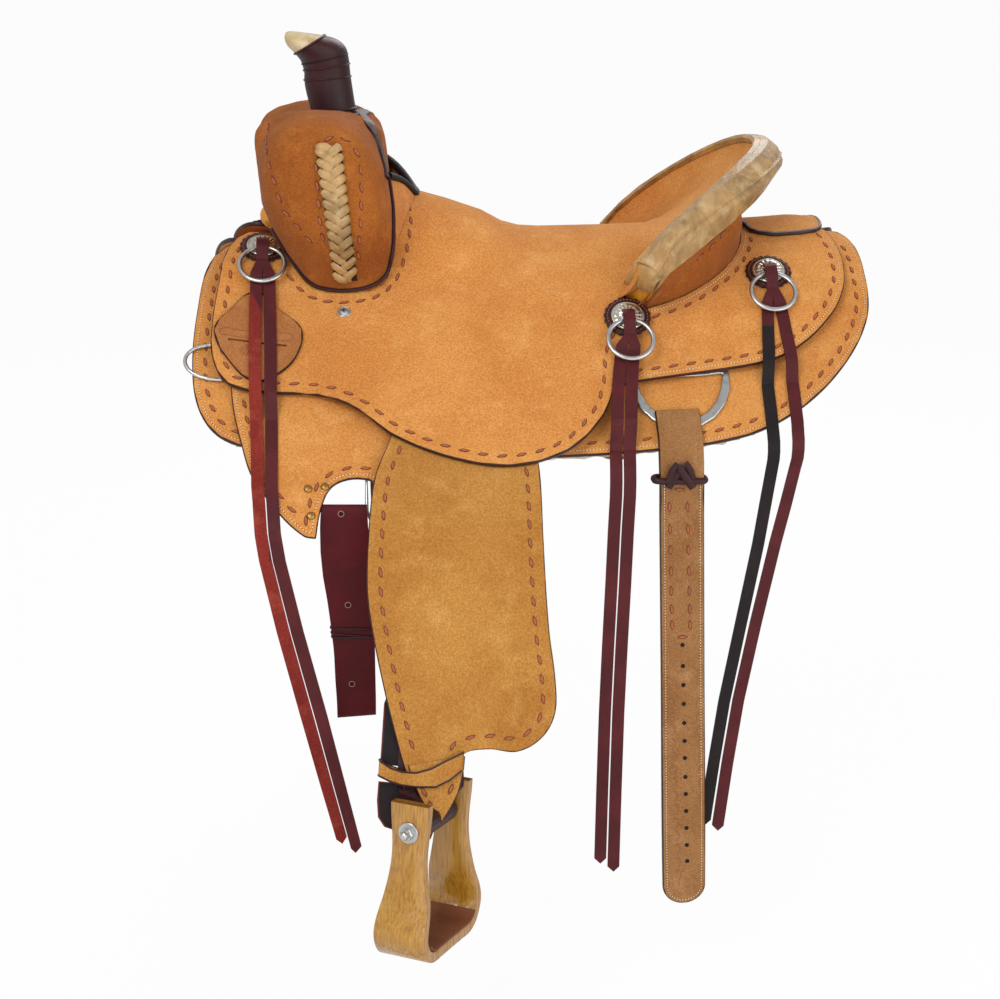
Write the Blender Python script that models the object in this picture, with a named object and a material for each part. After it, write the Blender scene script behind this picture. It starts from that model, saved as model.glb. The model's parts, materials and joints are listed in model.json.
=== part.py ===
"""Ranch saddle: rawhide-covered tree, rough-out leather, in-skirt rigging, bent-wood stirrups.

Metres, +Z up, +X towards the saddle's rear, the near (left) side at -Y. The origin is on the
mid-plane, on the horse's back under the middle of the bars. Leather panels are flat patterns
in (x, s), where s is the distance along the barrel's cross-section from the mid-plane,
positive on the near side. Each one is laid on the barrel at a height h above it.
"""
import functools
import math

import bmesh
import bpy
from mathutils import Matrix, Vector
from mathutils.geometry import delaunay_2d_cdt

for old in list(bpy.data.objects):
    bpy.data.objects.remove(old)

# The barrel under the saddle: slopes in degrees at distances from the mid-plane.
CROWN_S, SHOULDER_S, HANG_S, FREE_S = 0.050, 0.140, 0.345, 0.420
CROWN_SLOPE, SIDE_SLOPE, FENDER_SLOPE = 26.0, 44.0, 74.0
PLUMB_SLOPE = 88.0
ROCK = 0.012  # how far the bars' ends rise above their middle
ROCK_X = 0.330

# Thicknesses of the layers, from the horse outwards.
GAP = 0.0003
RUN = 0.0010  # running clearance of layers that slide on each other
FLEECE_T, SKIRT_T, RIGGING_T = 0.012, 0.005, 0.004
LEATHER_T, FENDER_T, SEAT_T, JOCKEY_T = 0.004, 0.004, 0.0045, 0.0045
STRING_T, BINDING_T, COVER_T = 0.0025, 0.003, 0.0042

H_SKIRT = FLEECE_T + GAP
H_RIGGING = H_SKIRT + SKIRT_T + GAP
H_LEATHER = H_RIGGING + RIGGING_T + RUN
H_FENDER = H_LEATHER + LEATHER_T + GAP
H_SEAT = H_FENDER + FENDER_T + RUN
H_TOP = H_SEAT + SEAT_T
H_JOCKEY = H_SEAT - RUN / 2 - JOCKEY_T
H_BAR_TOP = H_JOCKEY - GAP
FRONT_DROP = 0.0069  # the front jockey lies this much lower ahead of the fender
REAR_DROP = 0.0033

# The fork with its swells, and the horn.
FORK_X, FORK_HALF_W = -0.208, 0.157
FORK_TOP_Z, GULLET_Z, FORK_FOOT_Z = 0.172, 0.096, -0.016
FORK_HALF_L, FORK_LEG_Y, GULLET_HALF_W = 0.069, 0.088, 0.062
FORK_LEAN, LEG_DROP = -0.11, 0.030  # towards the front with height; how far the legs reach down
HORN_BASE = Vector((-0.203, 0.0, 0.152))
HORN_TOP = Vector((-0.209, 0.0, 0.226))
HORN_NECK_R, HORN_WRAP_T = 0.0210, 0.0028
HORN_CAP_L, HORN_CAP_W, HORN_CAP_T, HORN_TILT = 0.076, 0.072, 0.019, 11.0

# The cantle: the rim's ends, its top and its dish.
CANTLE_END_X, CANTLE_TOP_X, CANTLE_HALF_W = 0.106, 0.262, 0.154
CANTLE_END_Z, CANTLE_TOP_Z = 0.004, 0.131
CANTLE_FOOT_X, CANTLE_FOOT_HALF_W = 0.090, 0.126
BOARD_T, BACK_T, RIM_CLEAR = 0.0165, 0.0035, 0.0033
BINDING_FRONT, BINDING_BACK = 0.0075, 0.024  # how far the binding reaches down the face and the back

# Hardware.
CONCHO_R, CONCHO_T, ROSETTE_R, ROSETTE_T, SCALLOP = 0.0175, 0.004, 0.0250, 0.003, 0.0013
RING_R, RING_WIRE_R = 0.0235, 0.0025
STRING_W, STRING_SPLIT = 0.0125, 0.0010
DEE_BAND, DEE_T = 0.010, 0.004
DEE_W, DEE_H = 0.108, 0.074
BREAST_DEE_W, BREAST_DEE_L, BREAST_WIRE_R = 0.048, 0.042, 0.0025

# Fender, stirrup leather and stirrup.
SWING_X, SWING_S = -0.080, 0.140
SWING_LEAD = 0.012  # the leather turns about this far ahead of its middle, above its weight
LEATHER_W, TONGUE_S = 0.064, 0.116
BOLT_X, BOLT_S = -0.118, 0.652
STIRRUP_TURN, STIRRUP_LEAN = 62.0, 6.0  # how far the stirrup is turned out of the fender's plane, and tips
BOLT_R, NUT_R, NUT_T = 0.0045, 0.0100, 0.006
LOOP_R = 0.013
LEG_HALF, TREAD_HALF, STIRRUP_DROP, LEG_RISE = 0.045, 0.0610, 0.124, 0.028
WOOD_T, WOOD_TOP_W, WOOD_NECK_W, WOOD_TREAD_W = 0.011, 0.040, 0.034, 0.054
TREAD_T = 0.003
HOBBLE_S, HOBBLE_W, HOBBLE_T = 0.601, 0.022, 0.003

# Billets and latigo.
BILLET_W, BILLET_L, BILLET_T = 0.044, 0.508, 0.008
FOLDED_L = 0.165  # the off billet hangs doubled, its end tucked up
LATIGO_T, LATIGO_Y, LATIGO_TOP_Z = 0.010, 0.2875, -0.205
LEAF_T = 0.0035

MM = 0.001


def breaks(hang_from=HANG_S, hang_to=FREE_S, last=FENDER_SLOPE):
    """Distances and slopes (radians) of the cross-section, with its last bend."""
    return ((0.0, 0.0), (CROWN_S, math.radians(CROWN_SLOPE)), (SHOULDER_S, math.radians(SIDE_SLOPE)),
            (hang_from, math.radians(SIDE_SLOPE)), (hang_to, math.radians(last)), (2.0, math.radians(last)))


BARREL = breaks()
FACETS = 3  # flats in each bend; every layer has its creases at the same distances


@functools.lru_cache(None)
def creases(bends):
    """Distance, sideways reach, height and slope at each crease of the bare cross-section."""
    out = [(0.0, 0.0, 0.0, 0.0)]
    for (s0, a0), (s1, a1) in zip(bends, bends[1:]):
        parts = FACETS if a1 != a0 else 1
        for _ in range(parts):
            s, y, z, a = out[-1]
            step, turn = (s1 - s0) / parts, (a1 - a0) / parts
            chord = step * (math.sin(turn / 2) / (turn / 2) if turn else 1.0)
            way = a + turn / 2
            out.append((s + step, y + chord * math.cos(way), z - chord * math.sin(way), a + turn))
    return out


ROCK_STEP = 0.090


def rock(x):
    """The rise of the bars' ends, as flats between creases across the saddle."""
    cell = math.floor(x / ROCK_STEP)
    low, high = (ROCK * (ROCK_STEP * k / ROCK_X) ** 2 for k in (cell, cell + 1))
    return low + (high - low) * (x / ROCK_STEP - cell)


def lay(x, s, h, bends=BARREL):
    """The point at pattern place (x, s) and height h above the barrel."""
    flats = creases(bends)
    d = abs(s)
    for (s0, y0, z0, a0), (s1, y1, z1, a1) in zip(flats, flats[1:]):
        if d <= s1:
            break
    k = (d - s0) / (s1 - s0)
    y = (y0 + h * math.sin(a0)) * (1 - k) + (y1 + h * math.sin(a1)) * k
    z = (z0 + h * math.cos(a0)) * (1 - k) + (z1 + h * math.cos(a1)) * k
    return Vector((x, -math.copysign(1, s) * y, z + rock(x)))


def smooth(t):
    t = min(max(t, 0.0), 1.0)
    return t * t * (3 - 2 * t)


def ease(value, keys):
    """Smooth steps between (place, height) keys."""
    for (p0, v0), (p1, v1) in zip(keys, keys[1:]):
        if value <= p1:
            return v0 + (v1 - v0) * smooth((value - p0) / (p1 - p0))
    return keys[-1][1]


def material(name, colour, rough, metal=0.0):
    m = bpy.data.materials.get(name) or bpy.data.materials.new(name)
    m.use_nodes = True
    shader = m.node_tree.nodes["Principled BSDF"]
    shader.inputs["Base Color"].default_value = (*colour, 1)
    shader.inputs["Roughness"].default_value = rough
    shader.inputs["Metallic"].default_value = metal
    return m


ROUGHOUT = material("roughout_leather", (0.60, 0.32, 0.13), 0.85)
FORK_LEATHER = material("fork_leather", (0.50, 0.22, 0.09), 0.80)
TAN_LEATHER = material("tan_leather", (0.55, 0.30, 0.14), 0.80)
LATIGO = material("latigo_leather", (0.13, 0.010, 0.018), 0.40)
DARK_LEATHER = material("dark_leather", (0.040, 0.012, 0.014), 0.45)
RAWHIDE = material("rawhide", (0.50, 0.38, 0.20), 0.45)
TREE_HIDE = material("tree_rawhide", (0.72, 0.34, 0.03), 0.40)
FLEECE = material("fleece", (0.75, 0.68, 0.55), 0.95)
NICKEL = material("nickel_silver", (0.62, 0.60, 0.56), 0.25, 1.0)
STEEL = material("stainless_steel", (0.55, 0.56, 0.58), 0.25, 1.0)
OAK = material("varnished_oak", (0.50, 0.26, 0.06), 0.30)
TREAD = material("tread_leather", (0.16, 0.06, 0.025), 0.70)


def finish(name, mesh_or_bm, mat, angle=35):
    """A named object from a mesh or bmesh, faces out, smooth but for its sharp edges."""
    if isinstance(mesh_or_bm, bmesh.types.BMesh):
        bmesh.ops.recalc_face_normals(mesh_or_bm, faces=mesh_or_bm.faces)
        if mesh_or_bm.calc_volume(signed=True) < 0:
            bmesh.ops.reverse_faces(mesh_or_bm, faces=mesh_or_bm.faces)
        mesh = bpy.data.meshes.new(name)
        mesh_or_bm.to_mesh(mesh)
        mesh_or_bm.free()
    else:
        mesh = mesh_or_bm
    obj = bpy.data.objects.new(name, mesh)
    bpy.context.scene.collection.objects.link(obj)
    mesh.materials.append(mat)
    mesh.shade_smooth()
    mesh.set_sharp_from_angle(angle=math.radians(angle))
    return obj


def guide(obj):
    """Marks an object as a cutter."""
    obj.hide_render = True
    obj.display_type = "WIRE"
    return obj


def boolean(obj, other, operation):
    mod = obj.modifiers.new(operation.lower(), "BOOLEAN")
    mod.object, mod.operation, mod.solver = other, operation, "EXACT"
    guide(other)


def curve_through(points, closed, per=3):
    """A smooth line through (x, s) points; a third value of 1 keeps that point a corner."""
    n = len(points)
    flat = [Vector(p[:2]) for p in points]
    corner = [len(p) > 2 for p in points]
    out = []
    for i in range(n if closed else n - 1):
        a, b = flat[i], flat[(i + 1) % n]
        before = flat[(i - 1) % n] if closed or i > 0 else a
        after = flat[(i + 2) % n] if closed or i + 2 < n else b
        length = (b - a).length
        ta = Vector((0, 0)) if corner[i] else (b - before).normalized() * length
        tb = Vector((0, 0)) if corner[(i + 1) % n] else (after - a).normalized() * length
        if corner[i]:
            ta = (b - a) * 1.0
        if corner[(i + 1) % n]:
            tb = (b - a) * 1.0
        for k in range(per):
            t = k / per
            t2, t3 = t * t, t * t * t
            out.append((2 * t3 - 3 * t2 + 1) * a + (t3 - 2 * t2 + t) * ta
                       + (3 * t2 - 2 * t3) * b + (t3 - t2) * tb)
    if not closed:
        out.append(flat[-1])
    return out


def mm(points):
    """Pattern points given in millimetres, in metres."""
    return [(p[0] * MM, p[1] * MM, *p[2:]) for p in points]


def inset(line, distance):
    """A closed line moved inwards."""
    area = sum(a.x * b.y - b.x * a.y for a, b in zip(line, line[1:] + line[:1]))
    turn = math.copysign(1, area)
    out = []
    for before, at, after in zip(line[-1:] + line[:-1], line, line[1:] + line[:1]):
        along = (after - before).normalized()
        out.append(at + Vector((-along.y, along.x)) * distance * turn)
    return out


def inside(p, line):
    hit = False
    for a, b in zip(line, line[1:] + line[:1]):
        if (a.y > p.y) != (b.y > p.y) and p.x < (b.x - a.x) * (p.y - a.y) / (b.y - a.y) + a.x:
            hit = not hit
    return hit


def panel_mesh(line, low, high, bends=BARREL, at_x=(), at_s=()):
    """A sheet laid between two heights, creased where the barrel is; a height can be a function of (x, s)."""
    low_at = low if callable(low) else (lambda x, s: low)
    high_at = high if callable(high) else (lambda x, s: high)
    x0, x1 = min(p.x for p in line) - 0.01, max(p.x for p in line) + 0.01
    s0, s1 = min(p.y for p in line) - 0.01, max(p.y for p in line) + 0.01
    columns = {round(ROCK_STEP * k, 6) for k in range(-9, 10)} | set(at_x)
    rows = {sign * round(c[0], 6) for c in creases(bends) for sign in (-1, 1)} | set(at_s)
    ends = [((x, s0), (x, s1)) for x in columns if x0 < x < x1]
    ends += [((x0, s), (x1, s)) for s in rows if s0 < s < s1]
    points, rim = list(line), list(range(len(line)))
    fixed = list(zip(rim, rim[1:] + rim[:1]))
    for a, b in ends:
        fixed.append((len(points), len(points) + 1))
        points += [Vector(a), Vector(b)]
    verts, _, faces, *_ = delaunay_2d_cdt(points, fixed, [], 0, 1e-6)
    faces = [f for f in faces if inside(sum((verts[i] for i in f), Vector((0, 0))) / len(f), line)]
    used = sorted({i for f in faces for i in f})
    bm = bmesh.new()
    lower = {i: bm.verts.new(lay(*verts[i], low_at(*verts[i]), bends)) for i in used}
    upper = {i: bm.verts.new(lay(*verts[i], high_at(*verts[i]), bends)) for i in used}
    edges = set()
    for f in faces:
        bm.faces.new([upper[i] for i in f])
        bm.faces.new([lower[i] for i in reversed(f)])
        edges.update(zip(f, f[1:] + f[:1]))
    for a, b in edges:
        if (b, a) not in edges:
            bm.faces.new([upper[b], upper[a], lower[a], lower[b]])
    return bm


def panel(name, mat, line, low, high, **kw):
    return finish(name, panel_mesh(line, low, high, **kw), mat)


def mirrored(line):
    return [Vector((p.x, -p.y)) for p in line]


def slab(name, mat, upper, lower):
    """A closed sheet between two equal grids of points (rows of columns)."""
    bm = bmesh.new()
    top = [[bm.verts.new(p) for p in row] for row in upper]
    low = [[bm.verts.new(p) for p in row] for row in lower]
    rows, cols = len(top), len(top[0])
    for i in range(rows - 1):
        for j in range(cols - 1):
            for a, b in (((i, j + 1), (i + 1, j + 1)), ((i + 1, j + 1), (i + 1, j))):
                bm.faces.new([grid[k][m] for grid, (k, m) in zip((top,) * 3, ((i, j), a, b))])
                bm.faces.new([grid[k][m] for grid, (k, m) in zip((low,) * 3, ((i, j), b, a))])
    edge = [(0, j) for j in range(cols)] + [(i, cols - 1) for i in range(1, rows)]
    edge += [(rows - 1, j) for j in range(cols - 2, -1, -1)] + [(i, 0) for i in range(rows - 2, 0, -1)]
    for (i, j), (k, m) in zip(edge, edge[1:] + edge[:1]):
        bm.faces.new([top[i][j], low[i][j], low[k][m], top[k][m]])
    return finish(name, bm, mat)


def loft(name, mat, rings, closed=False):
    """A solid through rings of points, capped unless it closes on itself."""
    bm = bmesh.new()
    loops = [[bm.verts.new(p) for p in ring] for ring in rings]
    pairs = list(zip(loops, loops[1:])) + ([(loops[-1], loops[0])] if closed else [])
    for a, b in pairs:
        for i in range(len(a)):
            j = (i + 1) % len(a)
            bm.faces.new([a[i], a[j], b[j]])
            bm.faces.new([a[i], b[j], b[i]])
    if not closed:
        bm.faces.new(list(reversed(loops[0])))
        bm.faces.new(loops[-1])
    return finish(name, bm, mat)


def wire(name, mat, points, radius, cyclic=True):
    """A round bar along points, as a bevelled curve."""
    data = bpy.data.curves.new(name, "CURVE")
    data.dimensions = "3D"
    spline = data.splines.new("POLY")
    spline.points.add(len(points) - 1)
    for p, q in zip(spline.points, points):
        p.co = (*q, 1)
    spline.use_cyclic_u = cyclic
    spline.use_smooth = True
    data.bevel_depth, data.bevel_resolution, data.use_fill_caps = radius, 1, True
    data.materials.append(mat)
    obj = bpy.data.objects.new(name, data)
    bpy.context.scene.collection.objects.link(obj)
    return obj


# Patterns of the near side, in millimetres (x, s); a third value keeps a corner.
SKIRT_LINE = mm([
    (300, 3, 1), (345, 10), (362, 45), (365, 90), (359, 148), (328, 204), (277, 253), (215, 283), (124, 294),
    (0, 298), (-150, 297), (-280, 291), (-318, 279), (-339, 249), (-347, 200), (-344, 130), (-330, 50),
    (-295, 14), (-250, 26), (-100, 34), (100, 34), (190, 22), (215, 3, 1)])
RIGGING_LINE = mm([
    (-300, 130), (-307, 190), (-306, 240), (-296, 291), (-284, 330), (-258, 365), (-236, 383), (-225, 385, 1),
    (-220, 360), (-209, 336), (-192, 326), (-172, 326), (-156, 335), (-140, 337), (-122, 325), (-112, 295),
    (-70, 240), (0, 210), (95, 196), (190, 194), (200, 182), (190, 170), (100, 165), (-60, 160), (-200, 140)])
REAR_JOCKEY_LINE = mm([
    (244, 3, 1), (300, 3, 1), (325, 16), (338, 50), (341, 88), (334, 122), (311, 158), (272, 190), (235, 203),
    (174, 210), (100, 218), (66, 224), (52, 205), (72, 165), (108, 138), (165, 118), (212, 86), (236, 48)])
SEAT_HALF = mm([
    (-113, 0), (-117, 26), (-130, 52), (-150, 88), (-192, 104), (-232, 88), (-252, 62), (-268, 36), (-292, 30),
    (-312, 56), (-321, 98), (-327, 150), (-326, 192), (-310, 223), (-270, 231), (-221, 233), (-180, 253),
    (-147, 282), (-94, 307), (-32, 319), (28, 302), (66, 262), (80, 224), (86, 186), (104, 152),
    (116, 130, 1)])
GROUND_HALF = mm([
    (-122, 0), (-126, 40), (-134, 96), (-122, 108), (-36, 108), (-4, 126), (70, 122), (84, 100), (88, 0)])
BAR_LINE = mm([
    (-288, 46), (-278, 68), (-244, 80), (-205, 88), (-178, 116), (-150, 136), (-60, 132), (60, 134),
    (180, 140), (270, 118), (299, 80), (293, 48), (240, 40), (80, 36), (-80, 36), (-240, 38)])
FENDER_LINE = mm([
    (-141, 250), (-148, 282), (-164, 327), (-172, 380), (-175, 430), (-170, 475), (-160, 530), (-150, 575),
    (-143, 602), (-138, 612), (-131, 618, 1), (-112, 621), (-99, 618, 1), (-95, 612), (-87, 590), (-62, 585),
    (-33, 588), (-9, 575), (4, 552), (5, 520), (0, 470), (-3, 394), (-3, 314), (-14, 235), (-36, 180),
    (-70, 162), (-112, 180), (-133, 214)])
LEAF_LINE = mm([
    (-284, 113), (-258, 134), (-237, 156), (-243, 190), (-262, 212), (-284, 221), (-305, 204), (-325, 162),
    (-308, 134)])


# How far the seat rises towards the fork, at places along it.
SEAT_RISE = [(-0.15, 0.050), (-0.11, 0.0395), (-0.081, 0.032), (-0.041, 0.0186), (-0.019, 0.0066),
             (0.0, 0.0016), (0.022, 0.0)]
SEAT_COLUMNS = [x for x, _ in SEAT_RISE] + [-0.185, -0.197, -0.209, -0.220, -0.232, -0.248]
SEAT_ROWS = [sign * s for s in (0.017, 0.034, 0.065, 0.083, 0.093, 0.102, 0.112) for sign in (-1, 1)]


def seat_low(x, s):
    """Underside of the seat leather: over the fender, and lower ahead of it."""
    drop = FRONT_DROP * smooth((-0.185 - x) / 0.047) * smooth((abs(s) - 0.083) / 0.029)
    ends = [(-9.0, SEAT_RISE[0][1])] + SEAT_RISE + [(9.0, 0.0)]
    for (x0, r0), (x1, r1) in zip(ends, ends[1:]):
        if x <= x1:
            break
    rise = r0 + (r1 - r0) * (x - x0) / (x1 - x0)
    rise *= smooth((0.112 - abs(s)) / 0.10) * smooth((x + 0.248) / 0.051)
    return H_SEAT - drop + rise


JOCKEY_COLUMNS, JOCKEY_ROWS = [0.300, 0.310, 0.320, 0.330], [0.140, 0.150, 0.160, 0.170, 0.180]


def rear_low(x, s):
    """Underside of the rear jockey: over the bar's tail, lower towards its edge."""
    return H_JOCKEY - REAR_DROP * max(smooth((abs(s) - 0.140) / 0.04), smooth((x - 0.300) / 0.03))


def above(low, thickness):
    return lambda x, s: low(x, s) + thickness


def build_skirts():
    """Fleece, skirt, rigging leather and rear jockey of the near side."""
    skirt = curve_through(SKIRT_LINE, True, 2)
    panel("fleece_left", FLEECE, inset(skirt, 0.003), 0.0, FLEECE_T)
    panel("skirt_left", ROUGHOUT, skirt, H_SKIRT, H_SKIRT + SKIRT_T)
    rigging = curve_through(RIGGING_LINE, True, 2)
    panel("rigging_left", ROUGHOUT, rigging, H_RIGGING, H_RIGGING + RIGGING_T)
    jockey = curve_through(REAR_JOCKEY_LINE, True, 3)
    back = panel("rear_jockey_left", ROUGHOUT, jockey, rear_low, above(rear_low, JOCKEY_T),
                 at_x=JOCKEY_COLUMNS, at_s=JOCKEY_ROWS)
    room = cantle_slab("cantle_room", SEAT_T - 0.001, SEAT_T + BOARD_T + BACK_T + 3 * GAP, 0)
    boolean(back, room, "DIFFERENCE")


def fork_section(y, count=20):
    """The fork's outline across x and z at a distance y from the mid-plane."""
    end = max(1 - (abs(y) / FORK_HALF_W) ** 6, 0.0) ** (1 / 3.2)
    arch = smooth((abs(y) - GULLET_HALF_W) / (FORK_LEG_Y - GULLET_HALF_W))
    low = GULLET_Z + (FORK_FOOT_Z - GULLET_Z) * arch + 0.022 * smooth((abs(y) - 0.105) / 0.045)
    top = FORK_TOP_Z - 0.010 * smooth((0.075 - abs(y)) / 0.06)
    mid, tall = (top + low) / 2, (top - low) / 2
    ring = []
    for k in range(count):
        a = 2 * math.pi * k / count
        c, v = math.cos(a), math.sin(a)
        z = mid + tall * end * math.copysign(abs(v) ** 0.80, v)
        x = FORK_X + FORK_HALF_L * end * math.copysign(abs(c) ** 0.80, c) * (1 - 0.30 * max(-v, 0) ** 2)
        x += FORK_LEAN * (z - (FORK_TOP_Z + FORK_FOOT_Z) / 2) + 0.016 * max(-v, 0)
        ring.append(Vector((x, y, z)))
    return ring


def fork_body(name, mat, grow, stations=17):
    """The fork from side to side, grown all round, its legs reaching down into the bars."""
    half = FORK_HALF_W * 0.9985
    ys = [half * math.sin(math.pi / 2 * (2 * i / (stations - 1) - 1)) for i in range(stations)]
    body = loft(name, mat, [fork_section(y) for y in ys])
    bm = bmesh.new()
    bm.from_mesh(body.data)
    bmesh.ops.triangulate(bm, faces=bm.faces[:])
    bm.normal_update()
    moved = [v.co + v.normal * (v.calc_shell_factor() * grow) for v in bm.verts]
    for v, to in zip(bm.verts, moved):
        leg = smooth((abs(v.co.y) - 0.070) / 0.02) * smooth((0.135 - abs(v.co.y)) / 0.02)
        to.z -= LEG_DROP * leg * smooth((0.03 - v.co.z) / 0.05)
        v.co = to
    bm.to_mesh(body.data)
    bm.free()
    return body


def on_surface(x, y, h):
    """Height of the surface lying h above the barrel, at a place (x, y)."""
    low, high = 0.0, 0.5
    for _ in range(30):
        mid = (low + high) / 2
        if abs(lay(x, -mid - 1e-9, h).y) < abs(y):
            low = mid
        else:
            high = mid
    return lay(x, low + 1e-9, h).z


def cantle_face(t, w):
    """The cantle's seat face: t from -90 to 90 degrees around it, w from 0 at its foot to 1."""
    c, v = max(math.cos(t), 0.0), math.sin(t)
    foot = Vector((CANTLE_FOOT_X + 0.048 * c, CANTLE_FOOT_HALF_W * v, 0))
    foot.z = on_surface(foot.x, foot.y, H_TOP - 0.0012)
    rim = Vector((CANTLE_END_X + (CANTLE_TOP_X - CANTLE_END_X) * c ** 1.24,
                  CANTLE_HALF_W * math.copysign(abs(v) ** 0.85, v),
                  CANTLE_END_Z + (CANTLE_TOP_Z - CANTLE_END_Z) * c ** 0.85))
    bend = Vector((foot.x + 0.066 * c + 0.008, (0.30 * CANTLE_FOOT_HALF_W + 0.70 * CANTLE_HALF_W) * v,
                   foot.z + 0.010 + 0.004 * c))
    return (1 - w) ** 2 * foot + 2 * w * (1 - w) * bend + w ** 2 * rim


def cantle_normal(t, w):
    """The face's normal, towards the seat."""
    e = 1e-3
    across = cantle_face(min(t + e, 1.55), w) - cantle_face(max(t - e, -1.55), w)
    up = cantle_face(t, min(w + e, 1.0)) - cantle_face(t, max(w - e, 0.0))
    n = up.cross(across).normalized()
    return n if n.x < 0 else -n


CANTLE_COLS, CANTLE_ROWS = 21, 6
CANTLE_STOP = 4.0  # degrees that the sheets stop short of the rim's ends
CANTLE_REACH, CUT_REACH, BOARD_REACH = 90 - CANTLE_STOP, 90 - 0.375 * CANTLE_STOP, 90 - 3 * CANTLE_STOP


def cantle_slab(name, near_t, far_t, first_row, mat=None, reach=CANTLE_REACH):
    """A sheet behind the cantle's face, between two depths, creased where the face is."""
    ts = [math.radians(CANTLE_REACH * (2 * j / (CANTLE_COLS - 1) - 1)) for j in range(CANTLE_COLS)]
    ts = [t for t in ts if abs(t) < math.radians(reach + 0.1)]
    if reach > CANTLE_REACH:
        ts = [-math.radians(reach), *ts, math.radians(reach)]
    ws = [max(i / (CANTLE_ROWS - 1), -0.04) for i in range(first_row, CANTLE_ROWS)]
    face = [[(cantle_face(t, w), cantle_normal(t, w)) for t in ts] for w in ws]
    front = [[p - n * near_t for p, n in row] for row in face]
    back = [[p - n * far_t for p, n in row] for row in face]
    return slab(name, mat or ROUGHOUT, front, back)


def block_under(name, h):
    """A cutter that fills everything up to a height over the barrel, under the cantle."""
    line = [Vector((x, s)) for x, s in ((-0.36, -0.19), (0.38, -0.19), (0.38, 0.19), (-0.36, 0.19))]
    return panel(name, ROUGHOUT, line, -0.08, h)


def build_tree():
    """Bars, fork and cantle board, glued and covered with rawhide as one; ground seat on top."""
    bars = []
    for side, tag in ((1, "left"), (-1, "right")):
        line = curve_through(BAR_LINE, True, 2)
        line = line if side > 0 else mirrored(line)
        bar = panel("bar_" + tag, TREE_HIDE, line, H_RIGGING, H_BAR_TOP)
        reach = LEATHER_W / 2 + 0.016
        groove = [Vector((SWING_X + reach * k, side * (SWING_S + d))) for k, d in
                  ((-0.8, -0.040), (0.8, -0.040), (1.15, 0.03), (-1.15, 0.03))]
        cut = panel("groove_" + tag, TREE_HIDE, groove, H_LEATHER - 1.5 * RUN, H_BAR_TOP + 0.01)
        boolean(bar, cut, "DIFFERENCE")
        bars.append(bar)
    tree = fork_body("tree", TREE_HIDE, -COVER_T - 4 * GAP)
    board = cantle_slab("cantle_board", SEAT_T + GAP, SEAT_T + GAP + BOARD_T, 0, TREE_HIDE, BOARD_REACH)
    skin = block_under("tree_trim", H_RIGGING + 0.002)
    for piece in (tree, board):
        boolean(piece, skin, "DIFFERENCE")
    for other in (*bars, board):
        boolean(tree, other, "UNION")
    ground = [Vector(p) for p in curve_through(GROUND_HALF, False, 2)]
    ground = ground[:-1] + list(reversed(mirrored(ground[1:])))
    seat = panel("ground_seat", TAN_LEATHER, ground, H_JOCKEY, H_SEAT - GAP)
    boolean(seat, fork_body("ground_room", ROUGHOUT, GAP), "DIFFERENCE")


def build_fork_cover():
    """Leather cover of the fork, open under its feet."""
    cover = fork_body("fork_cover", FORK_LEATHER, 0.0)
    boolean(cover, fork_body("fork_room", FORK_LEATHER, -COVER_T + GAP), "DIFFERENCE")
    boolean(cover, block_under("cover_trim", H_JOCKEY), "DIFFERENCE")


def build_seat():
    """Seat leather with its front jockeys, carried up the cantle's face."""
    half = [Vector(p) for p in curve_through(SEAT_HALF, False, 2)]
    rear = [Vector((x, s)) for x, s in mm([(101, 121), (113, 106), (125, 88), (136, 54)])]
    line = half + rear
    line = line + [Vector((0.1430, 0.0))] + list(reversed(mirrored(line[1:])))
    seat = panel("seat", ROUGHOUT, line, seat_low, above(seat_low, SEAT_T), at_x=SEAT_COLUMNS, at_s=SEAT_ROWS)
    room = cantle_slab("board_room", SEAT_T - 0.0005, SEAT_T + BOARD_T + 3 * GAP, -1, reach=CUT_REACH)
    boolean(seat, room, "DIFFERENCE")
    boolean(seat, cantle_slab("cantle_facing", 0.0, SEAT_T, 0), "UNION")
    boolean(seat, fork_body("seat_room", ROUGHOUT, GAP), "DIFFERENCE")


def build_cantle():
    """Rawhide binding over the rim, and the leather on the cantle's back."""
    front = SEAT_T + BOARD_T + 2 * GAP
    back = cantle_slab("cantle_back", front, front + BACK_T, 1, reach=BOARD_REACH)
    boolean(back, block_under("back_trim", H_JOCKEY + JOCKEY_T + GAP), "DIFFERENCE")
    total = front + BACK_T + GAP
    rings = []
    for j in range(CANTLE_COLS):
        t = math.radians(CANTLE_REACH * (2 * j / (CANTLE_COLS - 1) - 1))
        last = 1 - 1 / (CANTLE_ROWS - 1)
        rim, n = cantle_face(t, 1.0), cantle_normal(t, 1.0)
        rise = rim - cantle_face(t, last)
        up = (rise - n * rise.dot(n)).normalized()

        def at(depth, down):
            share = max(down, 0.0) / rise.length
            side = n + (cantle_normal(t, last) - n) * share
            return rim - rise * share - side * depth + up * max(-down, 0.0)
        wall = RIM_CLEAR + BINDING_T
        reach = min(BINDING_BACK, rise.length)
        rings.append([at(-4 * GAP, BINDING_FRONT), at(-4 * GAP, -RIM_CLEAR), at(total + 4 * GAP, -RIM_CLEAR),
                      at(total + 4 * GAP, reach), at(total + wall, reach), at(total + wall, 0.002),
                      at(total * 0.75, -wall), at(total * 0.25, -wall * 1.15), at(-wall, 0.0),
                      at(-wall, BINDING_FRONT * 0.6)])
    binding = loft("cantle_binding", RAWHIDE, rings)
    boolean(binding, block_under("binding_trim", H_TOP + 2 * GAP), "DIFFERENCE")
    boolean(binding, cantle_slab("rim_room", -2 * GAP, SEAT_T, 0, reach=CUT_REACH), "DIFFERENCE")


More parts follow.
